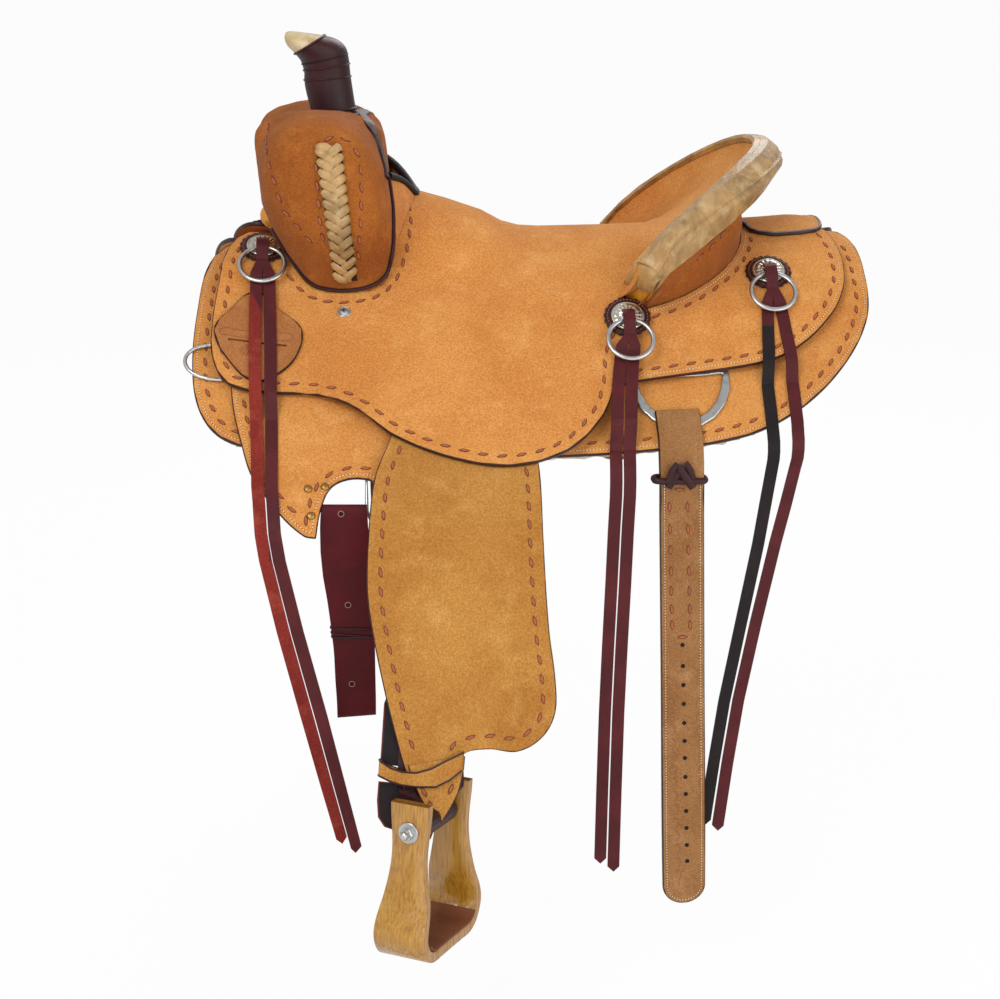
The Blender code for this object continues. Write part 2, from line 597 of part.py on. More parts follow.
def horn_rings(grow):
    """The horn's neck as rings along its axis, flaring into the cap."""
    axis = (HORN_TOP - HORN_BASE)
    rings = []
    for t, scale in ((-0.2, 1.22), (0.35, 1.03), (0.7, 0.97), (1.0, 1.05)):
        r = HORN_NECK_R * scale + grow
        at = HORN_BASE + axis * t
        rings.append([at + Vector((r * 1.05 * math.cos(a), r * math.sin(a), 0))
                      for a in (2 * math.pi * k / 20 for k in range(20))])
    return rings


def horn_cap(grow):
    """The cap: an oval disc with a rounded edge, its nose up."""
    tilt = Matrix.Rotation(math.radians(HORN_TILT), 4, "Y")
    centre = HORN_TOP + Vector((-0.006, 0, 0.004))
    rings = []
    for z, scale in ((-0.5, 0.72), (-0.30, 0.94), (0.0, 1.0), (0.30, 0.95), (0.5, 0.76)):
        rings.append([centre + tilt @ Vector(((HORN_CAP_L / 2 * scale + grow) * math.cos(a),
                                              (HORN_CAP_W / 2 * scale + grow) * math.sin(a),
                                              (HORN_CAP_T + 2 * grow) * z))
                      for a in (2 * math.pi * k / 20 for k in range(20))])
    return rings


def build_horn():
    """Rawhide horn, and the dark leather wrapped round its neck and the back of its cap."""
    horn = loft("horn", RAWHIDE, horn_rings(0.0))
    boolean(horn, loft("horn_head", RAWHIDE, horn_cap(0.0)), "UNION")
    boolean(horn, fork_body("horn_room", RAWHIDE, GAP), "DIFFERENCE")
    wrap = loft("horn_wrap", DARK_LEATHER, horn_rings(HORN_WRAP_T))
    head = loft("wrap_head", DARK_LEATHER, horn_cap(HORN_WRAP_T))
    boolean(wrap, head, "UNION")
    boolean(wrap, loft("horn_neck_room", RAWHIDE, horn_rings(GAP)), "DIFFERENCE")
    boolean(wrap, loft("horn_head_room", RAWHIDE, horn_cap(GAP)), "DIFFERENCE")
    nose = bmesh.new()
    bmesh.ops.create_cube(nose, size=1.0)
    tip = finish("nose_room", nose, RAWHIDE)
    tip.data.transform(Matrix.Translation(HORN_TOP + Vector((-0.062, 0, 0.012)))
                       @ Matrix.Rotation(math.radians(-28), 4, "Y") @ Matrix.Diagonal((0.08, 0.2, 0.09, 1)))
    boolean(wrap, tip, "DIFFERENCE")
    boolean(wrap, fork_body("wrap_room", RAWHIDE, GAP), "DIFFERENCE")


def fork_side(x, z):
    """How far out the fork's side face lies at (x, z)."""
    low, high = 0.06, FORK_HALF_W
    for _ in range(24):
        y = (low + high) / 2
        if inside(Vector((x, z)), [Vector((p.x, p.z)) for p in fork_section(y, count=40)]):
            low = y
        else:
            high = y
    return low


def build_inlay():
    """The braided rawhide strip laid on the swell, a slightly crowned pad following it."""
    rows, cols = 9, 4
    outer, inner = [], []
    for i in range(rows):
        k = i / (rows - 1)
        z, mid, half = 0.142 - 0.104 * k, -0.206 + 0.013 * k, 0.0135 - 0.002 * k
        xs = [mid + half * (2 * j / (cols - 1) - 1) for j in range(cols)]
        inner.append([Vector((x, -fork_side(x, z) + 0.004, z)) for x in xs])
        crown = [0.0062, 0.0076, 0.0076, 0.0062]
        outer.append([p + Vector((0, -c, 0)) for p, c in zip(inner[-1], crown)])
    braid = slab("braid_inlay_left", RAWHIDE, outer, inner)
    boolean(braid, fork_body("inlay_room", RAWHIDE, GAP), "DIFFERENCE")


def seat_top(x, s):
    return seat_low(x, s) + SEAT_T


def rear_top(x, s):
    return rear_low(x, s) + JOCKEY_T


LEAF_UNDER = LEAF_T + GAP
# Name, centre, the leather it lies on, what its lace lies on beside it, the lace's two tails
# and where the lace steps down to the leather below and hangs off it.
CONCHOS = {
    "front": dict(at=(-0.277, 0.056), top=seat_top, under=LEAF_UNDER, step=(0.236, 0.262),
                  level=H_LEATHER - RUN + GAP, hang=(0.358, 0.398), tuck=None, rows=SEAT_ROWS, lift=0.0005,
                  left=mm([(-283, 95), (-284, 180), (-281, 300), (-277, 380), (-238, 560), (-207, 688)]),
                  right=mm([(-270, 95), (-268, 180), (-267, 300), (-264, 380), (-224, 560), (-194, 698)]),
                  off_left=mm([(-283, 95), (-284, 180), (-284, 300), (-281, 380), (-276, 490)]),
                  off_right=mm([(-270, 95), (-269, 180), (-269, 300), (-267, 380), (-262, 500)])),
    "middle": dict(at=(0.101, 0.145), top=seat_top, under=0.0, step=(0.270, 0.296), level=H_RIGGING,
                   hang=(0.300, 0.330), tuck=None, rows=[], lift=0.0,
                   left=mm([(92, 182), (84, 230), (77, 310), (72, 420), (66, 560), (62, 722)]),
                   right=mm([(105, 182), (98, 230), (91, 310), (86, 420), (80, 560), (76, 732)]),
                   off_left=mm([(92, 182), (85, 230), (75, 300), (30, 380), (4, 540), (0, 700)]),
                   off_right=mm([(105, 182), (99, 230), (89, 300), (45, 380), (19, 540), (15, 710)])),
    "rear": dict(at=(0.258, 0.095), top=rear_top, under=0.0, step=(0.204, 0.226), level=H_RIGGING,
                 hang=(0.286, 0.300), tuck=(0.288, 0.320, 0.006), rows=JOCKEY_ROWS, lift=0.0,
                 left=mm([(251, 134), (246, 190), (242, 230), (240, 300), (228, 390), (196, 560),
                          (178, 692)]),
                 right=mm([(264, 134), (268, 190), (268, 240), (264, 310), (246, 390), (211, 560),
                           (192, 700)]),
                 off_left=mm([(251, 134), (246, 190), (245, 230), (239, 300), (222, 390), (214, 640)]),
                 off_right=mm([(264, 134), (262, 190), (261, 230), (254, 300), (237, 390), (229, 650)]))}
RING_DROP = 0.009  # the ring's top bar lies this far below the concho's centre


def concho(name, spec):
    """A scalloped leather rosette with a domed concho, flat on the leather."""
    place = concho_frame(spec)
    count = 24
    rings = []
    for z, r, scallop in ((0, ROSETTE_R, 1), (ROSETTE_T, ROSETTE_R, 1), (ROSETTE_T, CONCHO_R, 0),
                          (ROSETTE_T + 0.0016, CONCHO_R, 0), (ROSETTE_T + CONCHO_T, CONCHO_R * 0.45, 0)):
        angles = [2 * math.pi * k / count for k in range(count)]
        radii = [r - scallop * SCALLOP * (k % 2) for k in range(count)]
        rings.append([place @ Vector((q * math.cos(a), q * math.sin(a), z)) for a, q in zip(angles, radii)])
    loft(name, NICKEL, rings)


def concho_frame(spec):
    """A matrix at a rosette's underside: X rearwards, Y down the leather, Z outwards."""
    cx, cs = spec["at"]
    level = spec["top"](cx, cs) + GAP + spec["lift"]
    at = lay(cx, cs, level)
    along = (lay(cx + 0.02, cs, level) - lay(cx - 0.02, cs, level)).normalized()
    down = lay(cx, cs + 0.002, level) - lay(cx, cs - 0.002, level)
    down = (down - along * down.dot(along)).normalized()
    out = along.cross(down)
    out = out if out.z > 0 else -out
    return Matrix(((along.x, down.x, out.x, at.x), (along.y, down.y, out.y, at.y),
                   (along.z, down.z, out.z, at.z), (0, 0, 0, 1)))


def ring_ends(spec):
    """Centres of the ring's top and bottom bars."""
    cx, cs = spec["at"]
    top = lay(cx, cs + RING_DROP, spec["top"](cx, cs + RING_DROP) + ROSETTE_T + CONCHO_T + RING_WIRE_R + GAP)
    foot_s = cs + RING_DROP + 2 * RING_R
    lift = spec["under"] + 8 * GAP + STRING_T + RING_WIRE_R
    foot = lay(cx, foot_s, spec["top"](cx, foot_s) + lift)
    return top, top + (foot - top).normalized() * 2 * RING_R


def metal_ring(name, spec):
    top, foot = ring_ends(spec)
    centre, down = (top + foot) / 2, (foot - top) / 2
    across = Vector((RING_R, 0, 0))
    count = 18
    points = [centre - down * math.cos(a) + across * math.sin(a)
              for a in (2 * math.pi * k / count for k in range(count))]
    own_origin(wire(name, STEEL, points, RING_WIRE_R), top)


def lace(name, spec, tails):
    """One saddle string, doubled: out of the concho, over the ring's top, through it, two tails."""
    cx, cs = spec["at"]
    over = ROSETTE_T + CONCHO_T + 2 * RING_WIRE_R + 4 * GAP
    under = spec["under"] + GAP
    start = cs + RING_DROP
    rosette = ROSETTE_T + spec["lift"]
    keys = [(cs - 0.004, rosette + CONCHO_T + 4 * GAP), (start - 0.005, over), (start + 0.004, over),
            (start + 0.016, rosette + 0.002), (start + 0.023, max(under, rosette + 2 * GAP)),
            (start + 0.033, under)]
    step, bends = spec["step"], breaks(*spec["hang"], PLUMB_SLOPE)

    def low(x, s):
        h = spec["top"](x, s) + ease(max(s, keys[0][0]), keys)
        k = smooth((s - step[0]) / (step[1] - step[0]))
        h = h * (1 - k) + spec["level"] * k
        if spec["tuck"]:
            s0, s1, deep = spec["tuck"]
            h += (deep - spec["level"]) * smooth((s - s0) / (s1 - s0))
        return h

    def edges(tail):
        line = curve_through(tail, False, 2)
        sides = []
        for before, at, after in zip(line[:1] + line[:-1], line, line[1:] + line[-1:]):
            along = (after - before).normalized()
            across = Vector((along.y, -along.x)) * STRING_W / 2
            sides.append((at - across, at + across, at))
        outer, inner = [q[0] for q in sides], [q[1] for q in sides]
        return outer, inner, line[-1] + Vector((0, 0.006))

    half = STRING_W / 2
    neck = [cs - 0.004, cs + 0.026]
    a_out, a_in, a_tip = edges(spec[tails[0]])
    b_out, b_in, b_tip = edges(spec[tails[1]])
    if a_out[0].x > a_in[0].x:
        a_out, a_in = a_in, a_out
    if b_in[0].x > b_out[0].x:
        b_out, b_in = b_in, b_out
    middle = [(p + q) / 2 for p, q in zip(a_in, b_in)]
    for side, edge in ((-1, a_in), (1, b_in)):
        for p in edge:
            near = min(zip(middle, middle[1:]), key=lambda m: abs((m[0].y + m[1].y) / 2 - p.y))
            k = (p.y - near[0].y) / (near[1].y - near[0].y)
            split = near[0].x + (near[1].x - near[0].x) * k + side * STRING_SPLIT / 2
            p.x = side * max(side * p.x, side * split)
    crotch = Vector(((a_in[0].x + b_in[0].x) / 2, cs + 0.034))
    line = [Vector((cx - half, s)) for s in neck] + a_out + [a_tip] + a_in[::-1] + [crotch]
    line += b_in + [b_tip] + b_out[::-1] + [Vector((cx + half, s)) for s in neck[::-1]]
    steps = [k[0] for k in keys] + [start + 0.010] + [step[0] + (step[1] - step[0]) * k / 4 for k in range(5)]
    obj = panel(name, LATIGO, line, low, above(low, STRING_T), bends=bends, at_s=steps + spec["rows"],
                at_x=SEAT_COLUMNS if cx < 0 else ())
    return own_origin(obj, ring_ends(spec)[0])


def own_origin(obj, at):
    """Moves an object's origin to a point on its joint's axis."""
    move = Matrix.Translation(-at)
    obj.data.transform(move)
    obj.location = at
    return obj


def dee_path(count=10):
    """The rear dee's centreline in its own plane: a straight bar and a deep bow."""
    half = DEE_W / 2 - DEE_BAND / 2
    bow = [Vector((half * math.cos(a), (DEE_H - DEE_BAND) * math.sin(a) ** 0.9))
           for a in (math.pi * k / count for k in range(count + 1))]
    return bow + [Vector((-half * k, 0)) for k in (0.5, 0.0, -0.5)]


REAR_DEE_AT = (0.151, 0.206)
BILLET_TOP_S = REAR_DEE_AT[1] + DEE_H - 1.6 * DEE_BAND - 0.010  # where the billet's loop lies on the dee
BREAST_DEE_AT = (-0.318, 0.193)


def build_dees():
    """Flat rear dee, round breast-collar dee and the front rigging dee of the near side."""
    line = dee_path()
    low = H_RIGGING
    rings = []
    for before, at, after in zip(line[-1:] + line[:-1], line, line[1:] + line[:1]):
        along = (after - before).normalized()
        across = Vector((along.y, -along.x)) * DEE_BAND / 2
        rings.append([lay(REAR_DEE_AT[0] + q.x, REAR_DEE_AT[1] + q.y, h)
                      for q, h in ((at - across, low), (at + across, low),
                                   (at + across, low + DEE_T), (at - across, low + DEE_T))])
    own_origin(loft("rear_dee_left", STEEL, rings, closed=True),
               lay(REAR_DEE_AT[0], REAR_DEE_AT[1] - DEE_BAND / 2, low))
    x0, s0 = BREAST_DEE_AT
    half = BREAST_DEE_W / 2 - BREAST_WIRE_R
    bow = [(x0 - (BREAST_DEE_L - 2 * BREAST_WIRE_R) * math.sin(a) ** 0.8, s0 + half * math.cos(a))
           for a in (math.pi * k / 12 for k in range(13))]
    centre_h = low + BREAST_WIRE_R
    bar = [(x0, s0 - half / 3), (x0, s0 + half / 3)]
    points = [lay(x, s, centre_h) for x, s in bow + bar]
    own_origin(wire("breast_dee_left", STEEL, points, BREAST_WIRE_R), lay(x0, s0, centre_h))
    bar = [(-0.174, 0.322), (-0.150, 0.322), (-0.126, 0.322)]
    drop = [Vector((-0.150 + 0.024 * math.cos(a), -LATIGO_Y + LATIGO_T / 2 + BREAST_WIRE_R + GAP,
                    LATIGO_TOP_Z - 0.014 * math.sin(a))) for a in (math.pi * k / 6 for k in range(7))]
    top_h = H_RIGGING - BREAST_WIRE_R - GAP
    wire("rigging_dee_left", STEEL, [lay(x, s, top_h) for x, s in bar] + drop, BREAST_WIRE_R)


def rear_billet(name, length, doubled):
    """The rear billet looped on its dee, hanging straight."""
    x0, s0 = REAR_DEE_AT[0] - 0.007, BILLET_TOP_S
    hang = breaks(0.285, 0.310, PLUMB_SLOPE)
    half = BILLET_W / 2
    lean = 0.021
    ends = [(x0 + lean * d - half, s0 + d) for d in (0, length)]
    round_l = half * (0.3 if doubled else 0.9)
    tip = [(x0 + lean * length + half * math.cos(a), s0 + length + round_l * math.sin(a))
           for a in (math.pi * k / 6 for k in range(5, 0, -1))]
    line = [Vector(p) for p in ends + tip + [(x + BILLET_W, s) for x, s in reversed(ends)]]
    low = [(0.282, H_RIGGING + DEE_T + GAP), (0.335, 0.009)]
    thick = [(0.290, BILLET_T / 2), (0.330, BILLET_T * (1.6 if doubled else 1.0))]
    obj = panel(name, TAN_LEATHER, line, lambda x, s: ease(max(s, low[0][0]), low),
                lambda x, s: ease(max(s, low[0][0]), low) + ease(max(s, thick[0][0]), thick),
                bends=hang, at_s=[k[0] for k in low + thick])
    return own_origin(obj, billet_pivot())


def build_billets():
    """Rear billets, the folded latigo, and the off billet."""
    rear_billet("rear_billet_left", BILLET_L, False)
    flip(rear_billet("rear_billet_right", FOLDED_L, True))
    front = LATIGO_TOP_Z
    fold = [(-0.224, front - 0.010), (-0.180, front - 0.006), (-0.170, front), (-0.128, front),
            (-0.128, front - 0.055), (-0.168, front - 0.100), (-0.171, front - 0.213), (-0.174, front - 0.219),
            (-0.207, front - 0.221), (-0.212, front - 0.215)]
    off = [(-0.172, front), (-0.128, front), (-0.124, front - 0.250), (-0.134, front - 0.268),
           (-0.158, front - 0.268), (-0.168, front - 0.250)]
    for name, outline, side in (("latigo_left", fold, -1), ("off_billet_right", off, 1)):
        bm = bmesh.new()
        face = bm.faces.new([bm.verts.new((x, side * (LATIGO_Y + LATIGO_T / 2), z)) for x, z in outline])
        grown = bmesh.ops.extrude_face_region(bm, geom=[face])["geom"]
        for v in (g for g in grown if isinstance(g, bmesh.types.BMVert)):
            v.co.y = side * (LATIGO_Y - LATIGO_T / 2)
        strap = finish(name, bm, LATIGO)
        own_origin(strap, Vector((-0.150, side * LATIGO_Y, LATIGO_TOP_Z - 0.008)))


def billet_pivot():
    return lay(REAR_DEE_AT[0], BILLET_TOP_S, H_RIGGING + DEE_T + GAP)


def swing_pivot():
    return lay(SWING_X - SWING_LEAD, SWING_S, H_LEATHER + LEATHER_T / 2)


def bolt_centre():
    return lay(BOLT_X, BOLT_S, H_LEATHER)


def leather_x(s):
    return ease(s, [(0.14, SWING_X), (0.36, -0.094), (0.60, BOLT_X), (0.9, BOLT_X)])


TURN = math.radians(STIRRUP_TURN)
LEAN = math.radians(STIRRUP_LEAN)
BOLT_DIR = Vector((-math.cos(TURN) * math.cos(LEAN), -math.sin(TURN) * math.cos(LEAN), math.sin(LEAN)))
TREAD_DIR = Vector((math.sin(TURN), -math.cos(TURN), 0))
RISE_DIR = BOLT_DIR.cross(TREAD_DIR)


def build_fender():
    """Fender, doubled stirrup leather twisted to the stirrup, and the hobble strap round both."""
    fender = panel("fender_left", ROUGHOUT, curve_through(FENDER_LINE, True, 2), H_FENDER, H_FENDER + FENDER_T)
    own_origin(fender, swing_pivot())
    upper, lower = [], []
    spans = [TONGUE_S, 0.122, 0.135, 0.17, 0.25, 0.345, 0.37, 0.395, 0.42, 0.46, 0.54, 0.60, 0.618]
    for s in spans:
        w = LEATHER_W / 2 * (0.62 if s == spans[0] else 0.88 if s == spans[1] else 1.0)
        thick = ease(max(s, 0.40), [(0.40, LEATHER_T), (0.45, 2 * LEATHER_T)])
        xs = [leather_x(s) - w * (1 - j / 2) for j in range(5)]
        upper.append([lay(x, s, H_LEATHER + LEATHER_T) for x in xs])
        lower.append([lay(x, s, H_LEATHER + LEATHER_T - thick) for x in xs])
    out = Vector((0, -math.sin(math.radians(FENDER_SLOPE)), math.cos(math.radians(FENDER_SLOPE))))
    for k in (0.25, 0.5, 0.75, 1.0, 1.15):
        s = 0.618 + (BOLT_S - LOOP_R * 0.6 - 0.618) * k
        turn = TURN * smooth(k)
        lean = LEAN * smooth(k)
        wide = Vector((-math.cos(turn) * math.cos(lean), -math.sin(turn) * math.cos(lean), math.sin(lean)))
        flat = Vector((math.sin(turn), -math.cos(turn), 0))
        face = (out * (1 - smooth(k)) + flat * smooth(k)).normalized()
        mid = lay(leather_x(s), s, H_LEATHER)
        row = [mid + wide * (LEATHER_W / 2) * (1 - j / 2) for j in range(5)]
        upper.append([p + face * LEATHER_T for p in row])
        lower.append([p - face * LEATHER_T for p in row])
    strap = slab("stirrup_leather_left", LATIGO, upper, lower)
    boolean(strap, round_bar("leather_loop", LATIGO, LOOP_R, LEATHER_W, 16), "UNION")
    boolean(strap, round_bar("bolt_room", LATIGO, BOLT_R + GAP, LEATHER_W * 1.4, 16), "DIFFERENCE")
    own_origin(strap, swing_pivot())
    low, high = H_LEATHER - LEATHER_T - 2 * GAP, H_FENDER + FENDER_T + 2 * GAP
    x0, x1 = leather_x(HOBBLE_S) - LEATHER_W / 2 - 0.010, leather_x(HOBBLE_S) + LEATHER_W / 2 + 0.006
    loop = [(x0, low), (x0 + 0.004, high), ((x0 + x1) / 2, high), (x1 - 0.004, high), (x1, low),
            (x1 - 0.010, low), ((x0 + x1) / 2, low), (x0 + 0.010, low)]
    mid = Vector(((x0 + x1) / 2, (low + high) / 2))
    rings = []
    for x, h in loop:
        out_x = x + math.copysign(HOBBLE_T, x - mid.x) if abs(x - mid.x) > 0.03 else x
        out_h = h + math.copysign(HOBBLE_T, h - mid.y)
        rings.append([lay(px, HOBBLE_S + d * HOBBLE_W / 2, ph)
                      for px, ph, d in ((x, h, -1), (x, h, 1), (out_x, out_h, 1), (out_x, out_h, -1))])
    own_origin(loft("hobble_strap_left", TAN_LEATHER, rings, closed=True), swing_pivot())


def round_bar(name, mat, radius, length, count):
    """A cylinder on the stirrup bolt's axis."""
    centre = bolt_centre()
    turns = [2 * math.pi * k / count for k in range(count)]
    rim = [(TREAD_DIR * math.cos(a) + RISE_DIR * math.sin(a)) * radius for a in turns]
    return loft(name, mat, [[centre + BOLT_DIR * d + p for p in rim] for d in (-length / 2, length / 2)])


def stirrup_path():
    """Half of the bent bow's centreline, from the leg's top to the tread's middle."""
    keys = [(LEG_HALF, LEG_RISE), (LEG_HALF, 0.0), (LEG_HALF + 0.002, -0.030),
            (LEG_HALF + 0.36 * (TREAD_HALF - LEG_HALF), -0.55 * STIRRUP_DROP),
            (TREAD_HALF, -0.80 * STIRRUP_DROP), (TREAD_HALF - 0.006, -0.935 * STIRRUP_DROP),
            (TREAD_HALF - 0.019, -STIRRUP_DROP), (0.024, -STIRRUP_DROP - 0.0005), (0.0, -STIRRUP_DROP - 0.0005)]
    return curve_through(keys, False, 2)


def bow_solid(name, mat, line, width_at, thickness, shift=0.0):
    """A bar of oblong section swept along a line in the stirrup's plane."""
    centre = bolt_centre()
    rings = []
    for before, at, after in zip(line[:1] + line[:-1], line, line[1:] + line[-1:]):
        along = (after - before).normalized()
        normal = Vector((-along.y, along.x))
        w = width_at(at)
        ring = []
        for d, q in ((1, -1), (1, 1), (-1, 1), (-1, -1)):
            for cut_d, cut_q in ((0.80, 1.0), (1.0, 0.72)) if d * q < 0 else ((1.0, 0.72), (0.80, 1.0)):
                flat = at + normal * (shift + d * cut_d * thickness / 2)
                ring.append(centre + BOLT_DIR * flat.x + RISE_DIR * flat.y + TREAD_DIR * (q * cut_q * w / 2))
        rings.append(ring)
    return loft(name, mat, rings)


def wood_width(p):
    return ease(-p.y, [(-LEG_RISE, WOOD_TOP_W), (0.022, WOOD_NECK_W), (0.80 * STIRRUP_DROP, WOOD_TREAD_W),
                       (1.0, WOOD_TREAD_W)])


def build_stirrup():
    """Bent oak stirrup with its leather tread, hung on a bolt."""
    half = stirrup_path()
    whole = half + [Vector((-p.x, p.y)) for p in reversed(half[:-1])]
    bow = bow_solid("stirrup_left", OAK, whole, wood_width, WOOD_T)
    boolean(bow, round_bar("bolt_hole", OAK, BOLT_R + GAP, 4 * LEG_HALF, 12), "DIFFERENCE")
    own_origin(bow, bolt_centre())
    floor = [p for p in whole if p.y < -0.985 * STIRRUP_DROP]
    tread = bow_solid("stirrup_tread_left", TREAD, floor, lambda p: WOOD_TREAD_W, TREAD_T,
                      shift=-(WOOD_T + TREAD_T) / 2 - GAP)
    own_origin(tread, bolt_centre())
    inner = LEG_HALF + WOOD_T / 2 + 3 * GAP
    outer = inner + NUT_T
    centre, count = bolt_centre(), 12
    rings = []
    for d, r in ((-outer, NUT_R * 0.6), (-inner - 0.002, NUT_R), (-inner, NUT_R), (-inner, BOLT_R),
                 (inner, BOLT_R), (inner, NUT_R), (inner + 0.002, NUT_R), (outer, NUT_R * 0.6)):
        rings.append([centre + BOLT_DIR * d + (TREAD_DIR * math.cos(a) + RISE_DIR * math.sin(a)) * r
                      for a in (2 * math.pi * k / count for k in range(count))])
    own_origin(loft("stirrup_bolt_left", STEEL, rings), bolt_centre())


def build_leaf():
    """Latigo keeper: a leather leaf with a slit, on the front jockey."""
    top = above(seat_top, GAP)
    leaf = panel("keeper_leaf_left", TAN_LEATHER, curve_through(LEAF_LINE, True, 2), top, above(top, LEAF_T),
                 at_x=SEAT_COLUMNS, at_s=SEAT_ROWS)
    slit = [Vector(p) for p in mm([(-311, 171), (-252, 176), (-252, 179.5), (-311, 174.5)])]
    cut = panel("slit_room", TAN_LEATHER, slit, above(seat_top, -0.002), above(top, LEAF_T + 0.002))
    boolean(leaf, cut, "DIFFERENCE")


def flip(obj):
    """Moves a piece made for the near side to the off side."""
    obj.data.transform(Matrix.Diagonal((1, -1, 1, 1)))
    obj.data.flip_normals()
    obj.location.y *= -1


def mirror_piece(name):
    """The off side's copy of a near-side piece."""
    left = bpy.data.objects[name + "_left"]
    ready = left.evaluated_get(bpy.context.evaluated_depsgraph_get())
    mesh = bpy.data.meshes.new_from_object(ready)
    mesh.transform(Matrix.Diagonal((1, -1, 1, 1)))
    mesh.flip_normals()
    mesh.name = name + "_right"
    right = bpy.data.objects.new(name + "_right", mesh)
    right.location = (left.location.x, -left.location.y, left.location.z)
    bpy.context.scene.collection.objects.link(right)


PAIRS = ["fleece", "skirt", "rigging", "rear_jockey", "braid_inlay", "breast_dee", "rear_dee", "rigging_dee",
         "fender", "stirrup_leather", "hobble_strap", "stirrup", "stirrup_tread", "stirrup_bolt"]


def main():
    """Builds the near side's pieces, the middle ones, and mirrors what comes in pairs."""
    build_tree()
    build_fork_cover()
    build_horn()
    build_seat()
    build_cantle()
    build_skirts()
    build_inlay()
    build_dees()
    build_billets()
    build_fender()
    build_stirrup()
    build_leaf()
    for place, spec in CONCHOS.items():
        concho("concho_%s_left" % place, spec)
        metal_ring("ring_%s_left" % place, spec)
        lace("string_%s_left" % place, spec, ("left", "right"))
        flip(lace("string_%s_right" % place, spec, ("off_left", "off_right")))
    for kind in ("concho", "ring"):
        PAIRS.extend("%s_%s" % (kind, place) for place in CONCHOS)
    for name in PAIRS:
        mirror_piece(name)


main()
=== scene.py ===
"""Looks of a ranch saddle: napped leather, lacing, stitching, silver, oak and a plain studio.

Metres in the frame's axes: +X towards the saddle's rear, the near side at -Y, +Z up. Leather
panels are laid out on flat patterns (x, s), as in the saddle's own pattern pieces.
"""
import functools
import json
import logging
from dataclasses import dataclass, field
from enum import Enum
from math import copysign, cos, floor, pi, radians, sin
from typing import Callable, Iterable, Sequence

import bmesh
import bpy
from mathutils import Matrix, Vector
from mathutils.bvhtree import BVHTree

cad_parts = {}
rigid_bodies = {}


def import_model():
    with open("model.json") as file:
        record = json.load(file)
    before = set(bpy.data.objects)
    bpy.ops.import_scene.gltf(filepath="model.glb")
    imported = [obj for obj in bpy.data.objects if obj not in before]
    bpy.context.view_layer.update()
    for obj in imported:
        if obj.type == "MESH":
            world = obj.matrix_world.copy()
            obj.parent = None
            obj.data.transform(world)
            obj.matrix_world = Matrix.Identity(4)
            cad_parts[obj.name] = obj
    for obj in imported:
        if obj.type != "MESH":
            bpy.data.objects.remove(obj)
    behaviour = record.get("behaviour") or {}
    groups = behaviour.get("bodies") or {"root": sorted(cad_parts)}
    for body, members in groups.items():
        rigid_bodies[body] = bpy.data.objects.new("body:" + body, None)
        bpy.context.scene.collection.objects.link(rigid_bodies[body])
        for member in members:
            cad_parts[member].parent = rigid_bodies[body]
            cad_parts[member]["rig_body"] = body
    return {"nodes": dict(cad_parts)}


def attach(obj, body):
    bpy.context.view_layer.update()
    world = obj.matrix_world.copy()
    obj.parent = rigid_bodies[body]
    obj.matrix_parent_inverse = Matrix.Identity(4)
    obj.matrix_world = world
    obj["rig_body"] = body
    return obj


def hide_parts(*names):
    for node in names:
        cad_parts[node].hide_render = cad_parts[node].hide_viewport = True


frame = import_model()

LOG = logging.getLogger("saddle")
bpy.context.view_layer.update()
Colour = tuple[float, float, float]
Height = Callable[[float, float], float]

# The barrel's cross-section: distance from the mid-plane and slope in degrees.
BENDS = ((0.0, 0.0), (0.050, 26.0), (0.140, 44.0), (0.345, 44.0), (0.420, 74.0), (2.0, 74.0))
# Facets of a bend, and the rise of the bars' ends: its size, where it is reached, and its steps.
FACETS, ROCK, ROCK_X, ROCK_STEP = 3, 0.012, 0.330, 0.090
# Clearances between layers, then the heights of their faces above the barrel.
GAP, RUN = 0.0003, 0.0010
H_SKIRT_TOP = 0.0173
H_RIGGING_TOP, H_FENDER_TOP = 0.0216, 0.0309
H_SEAT, SEAT_T, JOCKEY_T = 0.0319, 0.0045, 0.0045
H_JOCKEY = H_SEAT - RUN / 2 - JOCKEY_T
FRONT_DROP, REAR_DROP = 0.0069, 0.0033
ROSETTE_T, CONCHO_T = 0.003, 0.004
RING_R, RING_WIRE_R, RING_DROP, STRING_T = 0.0235, 0.0025, 0.009, 0.0025


class Side(Enum):
    """The near (left) and off (right) sides."""

    NEAR = "left"
    OFF = "right"

    def place(self, p: Vector) -> Vector:
        """A near-side point on this side."""
        return p if self is Side.NEAR else Vector((p.x, -p.y, p.z))

    def row(self, points: "Iterable[Vector]") -> list[Vector]:
        """Near-side points on this side."""
        return [self.place(p) for p in points]

    def body(self, name: str) -> str:
        """The name of a body on this side."""
        return "%s_%s_body" % (name, self.value)


def srgb(red: float, green: float, blue: float) -> Colour:
    """A colour in linear light, written in display values from 0 to 255."""
    def line(value: float) -> float:
        """One channel in linear light."""
        c = value / 255
        return c / 12.92 if c <= 0.04045 else ((c + 0.055) / 1.055) ** 2.4
    return line(red), line(green), line(blue)


def smooth(t: float) -> float:
    """A smooth step from 0 to 1."""
    t = min(max(t, 0.0), 1.0)
    return t * t * (3 - 2 * t)


def turns(count: int, first: float = 0.0) -> list[float]:
    """Equal steps round a full turn, in radians."""
    return [2 * pi * (k + first) / count for k in range(count)]


def squared(value: float, power: float) -> float:
    """A sine or cosine pushed outwards, so that a round becomes a rounded square."""
    return copysign(abs(value) ** power, value)


